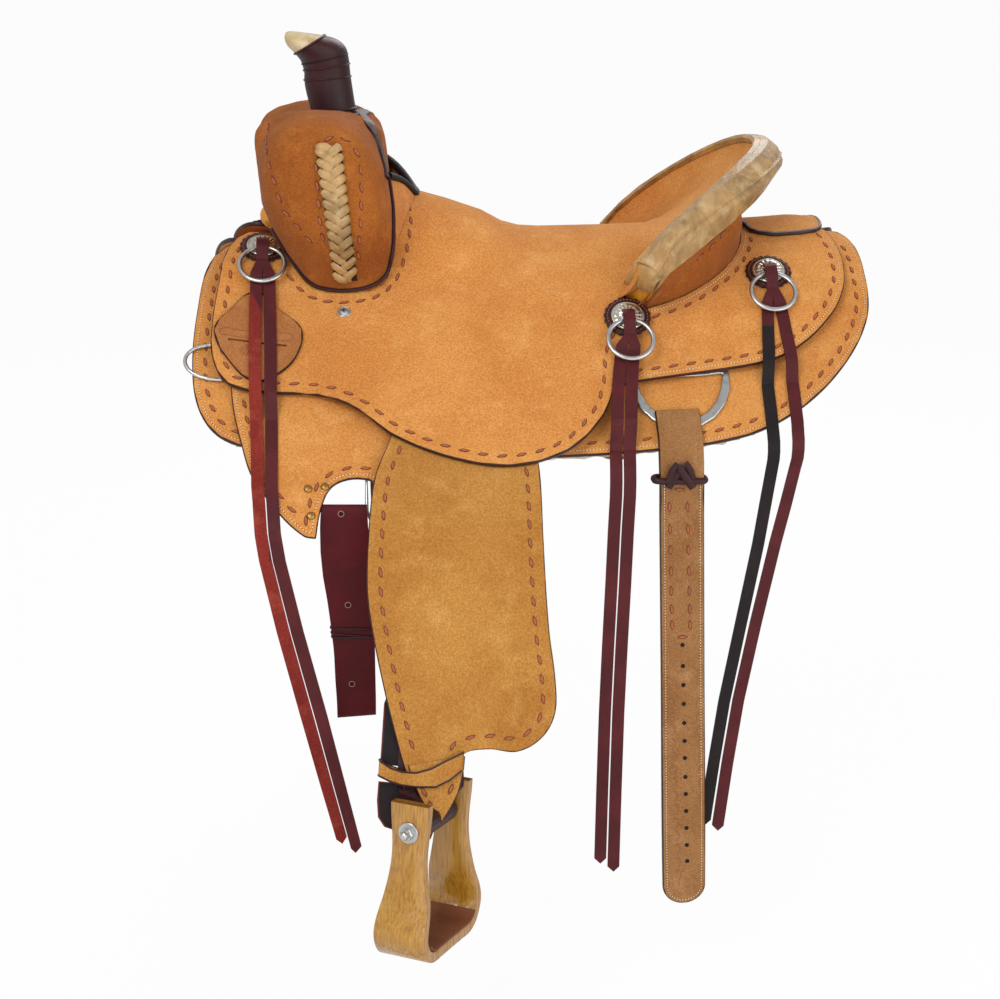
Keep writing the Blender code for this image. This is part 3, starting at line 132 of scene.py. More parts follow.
@functools.lru_cache(None)
def creases(bends: tuple[tuple[float, float], ...]) -> tuple[tuple[float, float, float, float], ...]:
    """Distance, reach, height and slope at each crease of a cross-section.

    Args:
        bends: Distances and slopes in degrees of the section's bends.

    Returns:
        One tuple for each crease, from the mid-plane outwards.
    """
    out = [(0.0, 0.0, 0.0, 0.0)]
    for (s0, a0), (s1, a1) in zip(bends, bends[1:]):
        parts = FACETS if a1 != a0 else 1
        for _ in range(parts):
            s, y, z, a = out[-1]
            step, turn = (s1 - s0) / parts, radians(a1 - a0) / parts
            chord = step * (sin(turn / 2) / (turn / 2) if turn else 1.0)
            mean = a + turn / 2
            out.append((s + step, y + chord * cos(mean), z - chord * sin(mean), a + turn))
    return tuple(out)


def rock(x: float) -> float:
    """The rise of the bars' ends.

    Args:
        x: Place along the saddle.

    Returns:
        How much higher the barrel is there than at its middle.
    """
    cell = floor(x / ROCK_STEP)
    low, high = (ROCK * (ROCK_STEP * k / ROCK_X) ** 2 for k in (cell, cell + 1))
    return low + (high - low) * (x / ROCK_STEP - cell)


def lay(x: float, s: float, h: float, bends: tuple[tuple[float, float], ...] = BENDS) -> Vector:
    """A pattern place laid on the barrel.

    Args:
        x: Place along the saddle.
        s: Distance from the mid-plane along the cross-section, positive on the near side.
        h: Height above the barrel.
        bends: The cross-section's bends.

    Returns:
        The point in space.
    """
    flats, d = creases(bends), abs(s)
    for (s0, y0, z0, a0), (s1, y1, z1, a1) in zip(flats, flats[1:]):
        if d <= s1:
            break
    k = (d - s0) / (s1 - s0)
    y = (y0 + h * sin(a0)) * (1 - k) + (y1 + h * sin(a1)) * k
    z = (z0 + h * cos(a0)) * (1 - k) + (z1 + h * cos(a1)) * k
    return Vector((x, -copysign(1, s) * y, z + rock(x)))


def curve_through(points: Sequence[tuple], closed: bool, per: int = 8) -> list[Vector]:
    """A smooth flat line through points in millimetres.

    Args:
        points: The (x, s) points; one with a third value stays a corner.
        closed: Whether the line joins up.
        per: Steps between two points.

    Returns:
        The line's points in metres.
    """
    n = len(points)
    flat = [Vector(p[:2]) / 1000 for p in points]
    corner = [len(p) > 2 for p in points]
    out = []
    for i in range(n if closed else n - 1):
        a, b = flat[i], flat[(i + 1) % n]
        before = flat[(i - 1) % n] if closed or i > 0 else a
        after = flat[(i + 2) % n] if closed or i + 2 < n else b
        length = (b - a).length
        ta = b - a if corner[i] else (b - before).normalized() * length
        tb = b - a if corner[(i + 1) % n] else (after - a).normalized() * length
        for k in range(per):
            t = k / per
            t2, t3 = t * t, t * t * t
            out.append((2 * t3 - 3 * t2 + 1) * a + (t3 - 2 * t2 + t) * ta
                       + (3 * t2 - 2 * t3) * b + (t3 - t2) * tb)
    if not closed:
        out.append(flat[-1])
    return out


# Pattern outlines of the near side, in millimetres.
SKIRT = [(300, 3, 1), (345, 10), (362, 45), (365, 90), (359, 148), (328, 204), (277, 253), (215, 283),
         (124, 294), (0, 298), (-150, 297), (-280, 291), (-318, 279), (-339, 249), (-347, 200),
         (-344, 130), (-330, 50), (-295, 14), (-250, 26), (-100, 34), (100, 34), (190, 22), (215, 3, 1)]
RIGGING = [(-300, 130), (-307, 190), (-306, 240), (-296, 291), (-284, 330), (-258, 365), (-236, 383),
           (-225, 385, 1), (-220, 360), (-209, 336), (-192, 326), (-172, 326), (-156, 335), (-140, 337),
           (-122, 325), (-112, 295), (-70, 240), (0, 210), (95, 196), (190, 194), (200, 182),
           (190, 170), (100, 165), (-60, 160), (-200, 140)]
JOCKEY = [(244, 3, 1), (300, 3, 1), (325, 16), (338, 50), (341, 88), (334, 122), (311, 158), (272, 190),
          (235, 203), (174, 210), (100, 218), (66, 224), (52, 205), (72, 165), (108, 138), (165, 118),
          (212, 86), (236, 48)]
SEAT = [(-113, 0), (-117, 26), (-130, 52), (-150, 88), (-192, 104), (-232, 88), (-252, 62), (-268, 36),
        (-292, 30), (-312, 56), (-321, 98), (-327, 150), (-326, 192), (-310, 223), (-270, 231),
        (-221, 233), (-180, 253), (-147, 282), (-94, 307), (-32, 319), (28, 302), (66, 262), (80, 224),
        (86, 186), (104, 152), (116, 130, 1)]
FENDER = [(-141, 250), (-148, 282), (-164, 327), (-172, 380), (-175, 430), (-170, 475), (-160, 530),
          (-150, 575), (-143, 602), (-138, 612), (-131, 618, 1), (-112, 621), (-99, 618, 1), (-95, 612),
          (-87, 590), (-62, 585), (-33, 588), (-9, 575), (4, 552), (5, 520), (0, 470), (-3, 394),
          (-3, 314), (-14, 235), (-36, 180), (-70, 162), (-112, 180), (-133, 214)]
LEAF = [(-284, 113), (-258, 134), (-237, 156), (-243, 190), (-262, 212), (-284, 221), (-305, 204),
        (-325, 162), (-308, 134)]
SEAT_RISE = [(-9.0, 0.050), (-0.15, 0.050), (-0.11, 0.0395), (-0.081, 0.032), (-0.041, 0.0186),
             (-0.019, 0.0066), (0.0, 0.0016), (0.022, 0.0), (9.0, 0.0)]


def seat_top(x: float, s: float) -> float:
    """Height of the seat leather's face.

    Args:
        x: Place along the saddle.
        s: Distance from the mid-plane on the pattern.

    Returns:
        The height above the barrel.
    """
    drop = FRONT_DROP * smooth((-0.185 - x) / 0.047) * smooth((abs(s) - 0.083) / 0.029)
    for (x0, r0), (x1, r1) in zip(SEAT_RISE, SEAT_RISE[1:]):
        if x <= x1:
            break
    rise = r0 + (r1 - r0) * (x - x0) / (x1 - x0)
    rise = rise * smooth((0.112 - abs(s)) / 0.10) * smooth((x + 0.248) / 0.051)
    return H_SEAT + SEAT_T - drop + rise


def jockey_top(x: float, s: float) -> float:
    """Height of the rear jockey's face."""
    drop = REAR_DROP * max(smooth((abs(s) - 0.140) / 0.04), smooth((x - 0.300) / 0.03))
    return H_JOCKEY + JOCKEY_T - drop


def level(h: float) -> Height:
    """A face that stays at one height."""
    return lambda x, s: h


class Value:
    """A socket of a material, with arithmetic that adds Math nodes."""

    def __init__(self, net: "Net", socket: bpy.types.NodeSocket) -> None:
        """Wraps one output socket."""
        self.net, self.socket = net, socket

    def math(self, operation: str, *others: "Value | float", clamp: bool = False) -> "Value":
        """Adds one Math node on this and further inputs, held between 0 and 1 if clamped."""
        values = {i: v for i, v in enumerate((self, *others))}
        return self.net.add("ShaderNodeMath", {"operation": operation, "use_clamp": clamp}, values)

    def __add__(self, other: "Value | float") -> "Value":
        """This plus another."""
        return self.math("ADD", other)

    __radd__ = __add__

    def __mul__(self, other: "Value | float") -> "Value":
        """This times another."""
        return self.math("MULTIPLY", other)

    __rmul__ = __mul__

    def __sub__(self, other: "Value | float") -> "Value":
        """This less another."""
        return self.math("SUBTRACT", other)

    def __rsub__(self, other: float) -> "Value":
        """A number less this."""
        return (self * -1.0) + other

    def step(self, low: float, high: float) -> "Value":
        """This mapped to 0 below one level and 1 above another."""
        return ((self - low) * (1.0 / (high - low))).math("ADD", 0.0, clamp=True)


@dataclass
class Net:
    """The node tree of one material."""

    name: str
    material: bpy.types.Material = field(init=False)

    def __post_init__(self) -> None:
        """Makes the material and finds its shader."""
        self.material = bpy.data.materials.new(self.name)
        self.material.use_nodes = True
        self.nodes, self.links = self.material.node_tree.nodes, self.material.node_tree.links
        self.shader = self.nodes["Principled BSDF"]
        self.place = self.add("ShaderNodeTexCoord", {}, {}, "Object")

    def add(self, kind: str, settings: dict, sockets: dict, output: "str | int" = 0) -> Value:
        """Adds one node.

        Args:
            kind: The node's type.
            settings: Its settings, set before its sockets.
            sockets: Values or links of its inputs, by name or number.
            output: Which output is wanted.

        Returns:
            That output.
        """
        node = self.nodes.new(kind)
        for key, value in settings.items():
            if key == "stops":
                ramp = node.color_ramp.elements
                while len(ramp) < len(value):
                    ramp.new(0.5)
                for stop, (at, colour) in zip(ramp, value):
                    stop.position, stop.color = at, (*colour, 1)
            else:
                setattr(node, key, value)
        for key, value in sockets.items():
            self.feed(node.inputs[key], value)
        return Value(self, node.outputs[output])

    def feed(self, socket: bpy.types.NodeSocket, value: "Value | float | tuple") -> None:
        """Sets a socket to a number or colour, or links it.

        Args:
            socket: The input.
            value: What it is set to, or what is linked to it.
        """
        if isinstance(value, Value):
            self.links.new(value.socket, socket)
        elif isinstance(value, tuple) and len(value) == 3 and socket.type == "RGBA":
            socket.default_value = (*value, 1)
        else:
            socket.default_value = value

    def noise(self, scale: float, detail: float = 4.0, stretch: tuple = (1.0, 1.0, 1.0),
              rough: float = 0.5, warp: float = 0.0) -> Value:
        """Cloudy noise over the object.

        Args:
            scale: Its fineness, in waves a metre.
            detail: How many finer layers it has.
            stretch: Scale along each axis.
            rough: The strength of the finer layers.
            warp: Distortion.

        Returns:
            Values about 0.5.
        """
        at = self.add("ShaderNodeMapping", {}, {"Vector": self.place, "Scale": stretch})
        sockets = {"Vector": at, "Scale": scale, "Detail": detail, "Roughness": rough, "Distortion": warp}
        return self.add("ShaderNodeTexNoise", {}, sockets, "Fac")

    def mix(self, factor: "Value | float", a: "Value | Colour", b: "Value | Colour",
            blend: str = "MIX") -> Value:
        """Mixes two colours; the factor is the second one's share."""
        settings = {"data_type": "RGBA", "blend_type": blend}
        return self.add("ShaderNodeMix", settings, {0: factor, 6: a, 7: b}, 2)

    def bump(self, height: Value, depth: float, under: "Value | None" = None) -> Value:
        """Bumps from a height.

        Args:
            height: The relief from 0 to 1.
            depth: How deep 1 is, in metres.
            under: A coarser bump it lies on.

        Returns:
            The bumped normal.
        """
        sockets = {"Height": height, "Distance": depth, "Strength": 1.0}
        if under is not None:
            sockets["Normal"] = under
        return self.add("ShaderNodeBump", {}, sockets)

    def finish(self, **sockets: "Value | float | Colour") -> bpy.types.Material:
        """Feeds the shader.

        Args:
            sockets: Values of its inputs, their spaces written as underscores.

        Returns:
            The material.
        """
        for key, value in sockets.items():
            self.feed(self.shader.inputs[key.replace("_", " ")], value)
        return self.material


@dataclass(frozen=True)
class Finish:
    """A surface finish; its material is made once."""

    name: str
    base: Colour

    @functools.lru_cache(None)
    def material(self) -> bpy.types.Material:
        """The finish's material, built when it is first wanted.

        Returns:
            The material.
        """
        net = Net(self.name)
        self.shade(net)
        return net.material

    def shade(self, net: Net) -> None:
        """Adds the nodes; each kind of finish has its own."""
        raise NotImplementedError


@dataclass(frozen=True)
class NappedLeather(Finish):
    """Leather with its flesh side out: a fine nap with darker and lighter smudges."""

    dark: Colour
    light: Colour
    nap: float = 0.00022
    smudge: float = 0.55

    def shade(self, net: Net) -> None:
        """Adds smudges, fibres, specks and scars.

        Args:
            net: The material's nodes.
        """
        cloud = net.noise(9.0, 5.0, rough=0.62, warp=0.6)
        patch = net.noise(34.0, 4.0, rough=0.6)
        fibre = net.noise(520.0, 3.0, rough=0.65)
        speck = net.noise(1500.0, 2.0, rough=0.5)
        scar = net.noise(16.0, 3.0, stretch=(1.0, 3.5, 3.5), warp=1.8)
        tone = net.mix(cloud.step(0.36, 0.66) * self.smudge, self.dark, self.base)
        tone = net.mix(patch.step(0.52, 0.78) * 0.45, tone, self.light)
        grain = fibre.step(0.38, 0.62) * 0.6 + speck.step(0.35, 0.65) * 0.4
        tone = net.mix(grain, tone, net.mix(1.0, tone, (0.60, 0.52, 0.45), "MULTIPLY"))
        lines = 1 - (scar - 0.5).math("ABSOLUTE").step(0.0, 0.012)
        tone = net.mix(lines * patch.step(0.50, 0.62) * 0.30, tone, self.dark)
        normal = net.bump(fibre * 0.7 + speck * 0.3, self.nap, net.bump(cloud, 0.0012))
        net.finish(Base_Color=tone, Roughness=0.80 + patch * 0.18, Normal=normal,
                   Specular_IOR_Level=0.10, Sheen_Weight=0.04, Sheen_Roughness=0.6)


@dataclass(frozen=True)
class SmoothLeather(Finish):
    """Grain-side leather, waxed: pores, faint creases and rubbed lighter spots."""

    worn: Colour
    rough: float = 0.42
    coat: float = 0.15

    def shade(self, net: Net) -> None:
        """Adds pores, faint creases and rubbed spots.

        Args:
            net: The material's nodes.
        """
        cloud = net.noise(28.0, 4.0, warp=0.4)
        pore = net.add("ShaderNodeTexVoronoi", {"feature": "DISTANCE_TO_EDGE"},
                       {"Vector": net.place, "Scale": 900.0}, "Distance")
        fine = net.noise(420.0, 3.0)
        tone = net.mix(cloud.step(0.44, 0.72) * 0.6, self.base, self.worn)
        tone = net.mix(fine.step(0.4, 0.7) * 0.25, tone, self.base)
        normal = net.bump(pore.step(0.0, 0.25) * 0.6 + fine * 0.4, 0.00012, net.bump(cloud, 0.0006))
        net.finish(Base_Color=tone, Roughness=self.rough + cloud * 0.16, Normal=normal,
                   Coat_Weight=self.coat, Coat_Roughness=0.35, Specular_IOR_Level=0.22)


@dataclass(frozen=True)
class Hide(Finish):
    """Rawhide or horn-like hide: translucent streaks under a thin shine."""

    streak: Colour
    pale: Colour
    rough: float = 0.38

    def shade(self, net: Net) -> None:
        """Adds streaks and cloudy patches.

        Args:
            net: The material's nodes.
        """
        streak = net.noise(22.0, 6.0, stretch=(1.0, 0.45, 1.0), rough=0.7, warp=1.2)
        cloud = net.noise(60.0, 4.0, rough=0.6)
        tone = net.mix(streak.step(0.38, 0.64), self.streak, self.base)
        tone = net.mix(cloud.step(0.52, 0.75) * 0.55, tone, self.pale)
        normal = net.bump(cloud, 0.0004, net.bump(streak, 0.0008))
        net.finish(Base_Color=tone, Roughness=self.rough + streak * 0.22, Normal=normal,
                   Coat_Weight=0.25, Coat_Roughness=0.2)


@dataclass(frozen=True)
class Metal(Finish):
    """Polished or brushed metal with fine scratches and tarnish in its hollows."""

    dark: Colour
    rough: float = 0.20

    def shade(self, net: Net) -> None:
        """Adds scratches and tarnish.

        Args:
            net: The material's nodes.
        """
        scratch = net.noise(900.0, 3.0, stretch=(1.0, 0.15, 0.15))
        stain = net.noise(150.0, 4.0)
        tone = net.mix(stain.step(0.50, 0.80) * 0.5, self.base, self.dark)
        net.finish(Base_Color=tone, Metallic=1.0, Normal=net.bump(scratch, 0.00004),
                   Roughness=self.rough + scratch * 0.10 + stain * 0.08)


@dataclass(frozen=True)
class Oak(Finish):
    """Varnished oak laminate: long grain and short dark pores under a gloss."""

    dark: Colour
    light: Colour

    def shade(self, net: Net) -> None:
        """Adds grain and pores.

        Args:
            net: The material's nodes.
        """
        grain = net.noise(90.0, 6.0, stretch=(5.0, 5.0, 0.22), rough=0.6, warp=0.25)
        pore = net.noise(420.0, 3.0, stretch=(3.0, 3.0, 0.16))
        cloud = net.noise(14.0, 3.0)
        tone = net.mix(grain.step(0.35, 0.66), self.dark, self.base)
        tone = net.mix(cloud.step(0.50, 0.75) * 0.6, tone, self.light)
        tone = net.mix(pore.step(0.56, 0.70) * 0.45, tone, self.dark)
        net.finish(Base_Color=tone, Roughness=0.22 + grain * 0.12, Normal=net.bump(grain, 0.0002),
                   Coat_Weight=0.6, Coat_Roughness=0.08)


@dataclass(frozen=True)
class Shearling(Finish):
    """Curled wool, darker between the curls: partly darker roots, partly painted shade in the hollows."""

    root: Colour

    def shade(self, net: Net) -> None:
        """Adds curls, and darker roots with painted shade in the hollows between the curls.

        Args:
            net: The material's nodes.
        """
        curl = net.add("ShaderNodeTexVoronoi", {"feature": "SMOOTH_F1"},
                       {"Vector": net.place, "Scale": 150.0}, "Distance")
        fine = net.noise(700.0, 3.0, warp=1.0)
        # Painted shade: the hollows between curls take the darker root colour, on top of the roots' own tone.
        tone = net.mix(curl.step(0.2, 0.85), self.base, self.root)
        tone = net.mix(fine.step(0.4, 0.7) * 0.35, tone, self.root)
        net.finish(Base_Color=tone, Roughness=0.95 + fine * 0.03, Specular_IOR_Level=0.1, Sheen_Weight=0.4,
                   Normal=net.bump(fine, 0.0006, net.bump(1 - curl, 0.003)))


@dataclass(frozen=True)
class Thread(Finish):
    """Waxed thread or a thin lace with a little variation."""

    dark: Colour
    rough: float = 0.6

    def shade(self, net: Net) -> None:
        """Adds a little variation.

        Args:
            net: The material's nodes.
        """
        fine = net.noise(1200.0, 2.0)
        patch = net.noise(90.0, 3.0)
        tone = net.mix(fine.step(0.35, 0.7) * 0.5, self.base, self.dark)
        tone = net.mix(patch.step(0.45, 0.75) * 0.35, tone, self.dark)
        net.finish(Base_Color=tone, Roughness=self.rough + fine * 0.2, Normal=net.bump(fine, 0.0001))


ROUGHOUT = NappedLeather("roughout", srgb(240, 174, 98), srgb(214, 142, 72), srgb(248, 192, 122))
FORK_HIDE = NappedLeather("fork_hide", srgb(194, 118, 50), srgb(150, 82, 30), srgb(214, 142, 70))
FENDER_HIDE = NappedLeather("fender_hide", srgb(214, 160, 84), srgb(184, 126, 58), srgb(230, 182, 108))
LEAF_HIDE = NappedLeather("leaf_hide", srgb(200, 138, 84), srgb(168, 106, 58), srgb(214, 158, 104),
                          nap=0.00012)
BILLET_HIDE = NappedLeather("billet_hide", srgb(182, 136, 90), srgb(150, 104, 62), srgb(198, 156, 112))
EDGE = SmoothLeather("burnished_edge", srgb(44, 20, 18), srgb(84, 42, 30), rough=0.38, coat=0.3)
BURGUNDY = SmoothLeather("burgundy", srgb(74, 2, 12), srgb(98, 8, 22), rough=0.46, coat=0.0)
CUT_EDGE = Thread("cut_edge", srgb(176, 116, 96), srgb(128, 62, 54))
STRING_RED = SmoothLeather("string_red", srgb(74, 20, 24), srgb(98, 32, 36), rough=0.44, coat=0.0)
FLESH = NappedLeather("flesh_side", srgb(168, 66, 54), srgb(120, 36, 34), srgb(196, 98, 76), nap=0.0003)
DARK = SmoothLeather("dark_wrap", srgb(44, 16, 20), srgb(74, 30, 32), rough=0.32, coat=0.15)
BLACK = SmoothLeather("black_leather", srgb(24, 16, 18), srgb(44, 30, 32), rough=0.45, coat=0.0)
RAWHIDE = Hide("rawhide", srgb(188, 148, 92), srgb(136, 104, 58), srgb(216, 188, 140))
NOSE = Hide("horn_rawhide", srgb(212, 190, 146), srgb(176, 148, 100), srgb(232, 216, 180))
TREE_HIDE = Hide("tree_hide", srgb(226, 152, 36), srgb(180, 104, 20), srgb(242, 186, 74), rough=0.28)
SILVER = Metal("silver", srgb(214, 208, 196), srgb(96, 88, 78), rough=0.16)
STEEL = Metal("steel", srgb(196, 196, 196), srgb(120, 118, 116), rough=0.22)
BRASS = Metal("rivet_brass", srgb(170, 132, 74), srgb(90, 60, 30), rough=0.3)
OAK = Oak("oak", srgb(190, 140, 48), srgb(150, 98, 26), srgb(214, 172, 84))
OAK_DARK = Oak("oak_glue_line", srgb(158, 104, 44), srgb(110, 66, 24), srgb(180, 128, 60))
WOOL = Shearling("wool", srgb(236, 226, 204), srgb(176, 156, 122))
LACE = Thread("lace_rim", srgb(104, 32, 22), srgb(62, 16, 12))
LACE_FACE = Thread("lace_face", srgb(170, 94, 44), srgb(128, 62, 30))
WHITE = Thread("white_thread", srgb(240, 226, 198), srgb(206, 182, 142), rough=0.7)
# Painted shade: a near-black colour laid as thin pieces on holes, slits and slots, standing in for the shade
# inside them.
HOLE_SHADE = Thread("punched_hole", srgb(34, 16, 14), srgb(16, 8, 8), rough=0.9)
TREAD = SmoothLeather("tread_leather", srgb(120, 70, 44), srgb(84, 44, 26), rough=0.6, coat=0.0)
TOOLED = Thread("tooled", srgb(146, 90, 52), srgb(108, 60, 36))
STAMP = Thread("stamp", srgb(150, 96, 56), srgb(120, 70, 40))


@dataclass
class Maker:
    """Collects parts of one piece and makes its object."""

    verts: list = field(default_factory=list)
    faces: list = field(default_factory=list)

    def loft(self, rings: Sequence[Sequence[Vector]], tag: int = 0, closed: bool = False,
             caps: bool = True) -> None:
        """Adds a skin through equal rings.

        Args:
            rings: The rings of points.
            tag: Which material the skin has.
            closed: Whether the last ring joins the first.
            caps: Whether the ends are filled.
        """
        n, base = len(rings[0]), len(self.verts)
        self.verts += [p for ring in rings for p in ring]
        count = len(rings)
        for i in range(count if closed else count - 1):
            a, b = base + i * n, base + ((i + 1) % count) * n
            for j in range(n):
                k = (j + 1) % n
                self.faces.append(((a + j, a + k, b + k, b + j), tag))
        if caps and not closed:
            self.faces.append((tuple(base + j for j in reversed(range(n))), tag))
            self.faces.append((tuple(base + (count - 1) * n + j for j in range(n)), tag))

    def tube(self, points: Sequence[Vector], radius: float, sides: int = 8, closed: bool = False,
             tag: int = 0, out: "Vector | None" = None, flat: float = 1.0) -> None:
        """Adds a round or flattened bar along points.

        Args:
            points: Its centreline.
            radius: Half its width.
            sides: Corners of its section.
            closed: Whether it joins up.
            tag: Its material.
            out: The direction it is thin along, if it is flattened.
            flat: Its thickness as a share of its width.
        """
        rings, normal = [], (out or Vector((0.31, 0.42, 0.85))).normalized()
        n = len(points)
        for i, p in enumerate(points):
            a = points[(i - 1) % n] if closed or i else p
            b = points[(i + 1) % n] if closed or i < n - 1 else p
            along = (b - a).normalized()
            normal = normal if out is None else out
            normal = (normal - along * normal.dot(along)).normalized()
            side = along.cross(normal)
            rings.append([p + (side * cos(t) + normal * (flat * sin(t))) * radius
                          for t in turns(sides)])
        self.loft(rings, tag, closed)

    def dome(self, at: Vector, along: Vector, out: Vector, rings: Sequence[tuple[float, float]],
             sides: int = 16, tag: int = 0, wave: "Callable[[float, float], float] | None" = None) -> None:
        """Adds a turned shape: rings of (radius, height) from the rim to the middle.

        Args:
            at: Its middle.
            along: A direction in its plane.
            out: Its axis.
            rings: Radius and height of each ring.
            sides: Corners of each ring.
            tag: Its material.
            wave: Extra height at (angle, radius).
        """
        out = out.normalized()
        along = (along - out * along.dot(out)).normalized()
        side = out.cross(along)
        made = []
        for r, h in rings:
            ring = []
            for t in turns(sides):
                extra = wave(t, r) if wave else 0.0
                ring.append(at + (along * cos(t) + side * sin(t)) * r + out * (h + extra))
            made.append(ring)
        self.loft(made, tag)

    def make(self, name: str, body: str, finishes: Sequence[Finish], slot: str,
             angle: float = 40.0) -> bpy.types.Object:
        """Makes the object and lets it ride.

        Args:
            name: The object's name.
            body: The body it rides on.
            finishes: Its finishes in the order of the tags.
            slot: The record's material slot; not used.
            angle: Edges sharper than this many degrees stay sharp.

        Returns:
            The object.
        """
        mesh = bpy.data.meshes.new(name)
        mesh.from_pydata([tuple(v) for v in self.verts], [], [f for f, _ in self.faces])
        for finish in finishes:
            mesh.materials.append(finish.material())
        for poly, (_, tag) in zip(mesh.polygons, self.faces):
            poly.material_index = tag
        bm = bmesh.new()
        bm.from_mesh(mesh)
        bmesh.ops.recalc_face_normals(bm, faces=bm.faces)
        bm.to_mesh(mesh)
        bm.free()
        mesh.shade_smooth()
        mesh.set_sharp_from_angle(angle=radians(angle))
        obj = bpy.data.objects.new(name, mesh)
        bpy.context.scene.collection.objects.link(obj)
        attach(obj, body)
        return obj


@dataclass(frozen=True)
class Spot:
    """A place on a surface: the point and the way out of it."""

    at: Vector
    out: Vector

    def on(self, side: Side) -> "Spot":
        """The same place on a side."""
        return Spot(side.place(self.at), side.place(self.out))


def stations(spots: Sequence[Spot], shares: Iterable[float]) -> list[tuple[Vector, Vector, Vector]]:
    """Places at shares of a line's length.

    Args:
        spots: The line.
        shares: Rising shares from 0 to 1.

    Returns:
        Point, direction and outward direction at each.
    """
    lengths = [(b.at - a.at).length for a, b in zip(spots, spots[1:])]
    total, out, i, run = sum(lengths), [], 0, 0.0
    for share in shares:
        want = share * total
        while i < len(lengths) - 1 and run + lengths[i] < want:
            run += lengths[i]
            i += 1
        t = min((want - run) / max(lengths[i], 1e-9), 1.0)
        a, b = spots[i], spots[i + 1]
        out.append((a.at.lerp(b.at, t), (b.at - a.at).normalized(), a.out.lerp(b.out, t).normalized()))
    return out


def walk(spots: Sequence[Spot], pitch: float) -> list[tuple[Vector, Vector, Vector]]:
    """Even steps along a line of spots.

    Args:
        spots: The line.
        pitch: The wanted length of a step.

    Returns:
        Point, direction and outward direction at the middle of each step.
    """
    total = sum((b.at - a.at).length for a, b in zip(spots, spots[1:]))
    count = max(int(total / pitch), 1)
    return stations(spots, ((k + 0.5) / count for k in range(count)))


def even(spots: Sequence[Spot], count: int) -> list[Spot]:
    """Evenly spaced spots along a line, ends included."""
    return [Spot(at, out) for at, _, out in stations(spots, (k / (count - 1) for k in range(count)))]


def both(lines: Iterable[Sequence[Spot]], side: Side) -> list[list[Spot]]:
    """Lines of near-side spots on a side, ready for the stitcher."""
    return [[q.on(side) for q in line] for line in lines]


@dataclass
class Covers:
    """Knows which places of the fixed leather lie under another layer."""

    tree: BVHTree = field(init=False)

    def __post_init__(self) -> None:
        """Joins the fixed nodes into one search tree."""
        verts, faces = [], []
        for name, node in frame["nodes"].items():
            if node["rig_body"] != "saddle" or name.startswith(("concho", "keeper", "rigging_dee")):
                continue
            base = len(verts)
            verts += [v.co.copy() for v in node.data.vertices]
            faces += [tuple(base + i for i in p.vertices) for p in node.data.polygons]
        self.tree = BVHTree.FromPolygons(verts, faces)

    def over(self, at: Vector, out: Vector) -> bool:
        """Whether something lies just above a place."""
        return self.tree.ray_cast(at + out * 0.0012, out, 0.012)[0] is not None


@dataclass
class Node:
    """A CAD node that things are set on."""

    name: str
    mesh: "bpy.types.Mesh | None" = None
    tree: BVHTree = field(init=False)

    def __post_init__(self) -> None:
        """Builds the search tree."""
        mesh = self.mesh or frame["nodes"][self.name].data
        self.tree = BVHTree.FromPolygons([v.co.copy() for v in mesh.vertices],
                                         [tuple(p.vertices) for p in mesh.polygons])

    def near(self, p: Vector) -> Spot:
        """The place on the node that is closest to a point."""
        at, out, _, _ = self.tree.find_nearest(p)
        return Spot(at, out)

    def along(self, start: Vector, way: Vector) -> "Spot | None":
        """Where a line from a point meets the node, if it does."""
        at, out, _, _ = self.tree.ray_cast(start, way)
        return None if at is None else Spot(at, out if out.dot(way) < 0 else -out)


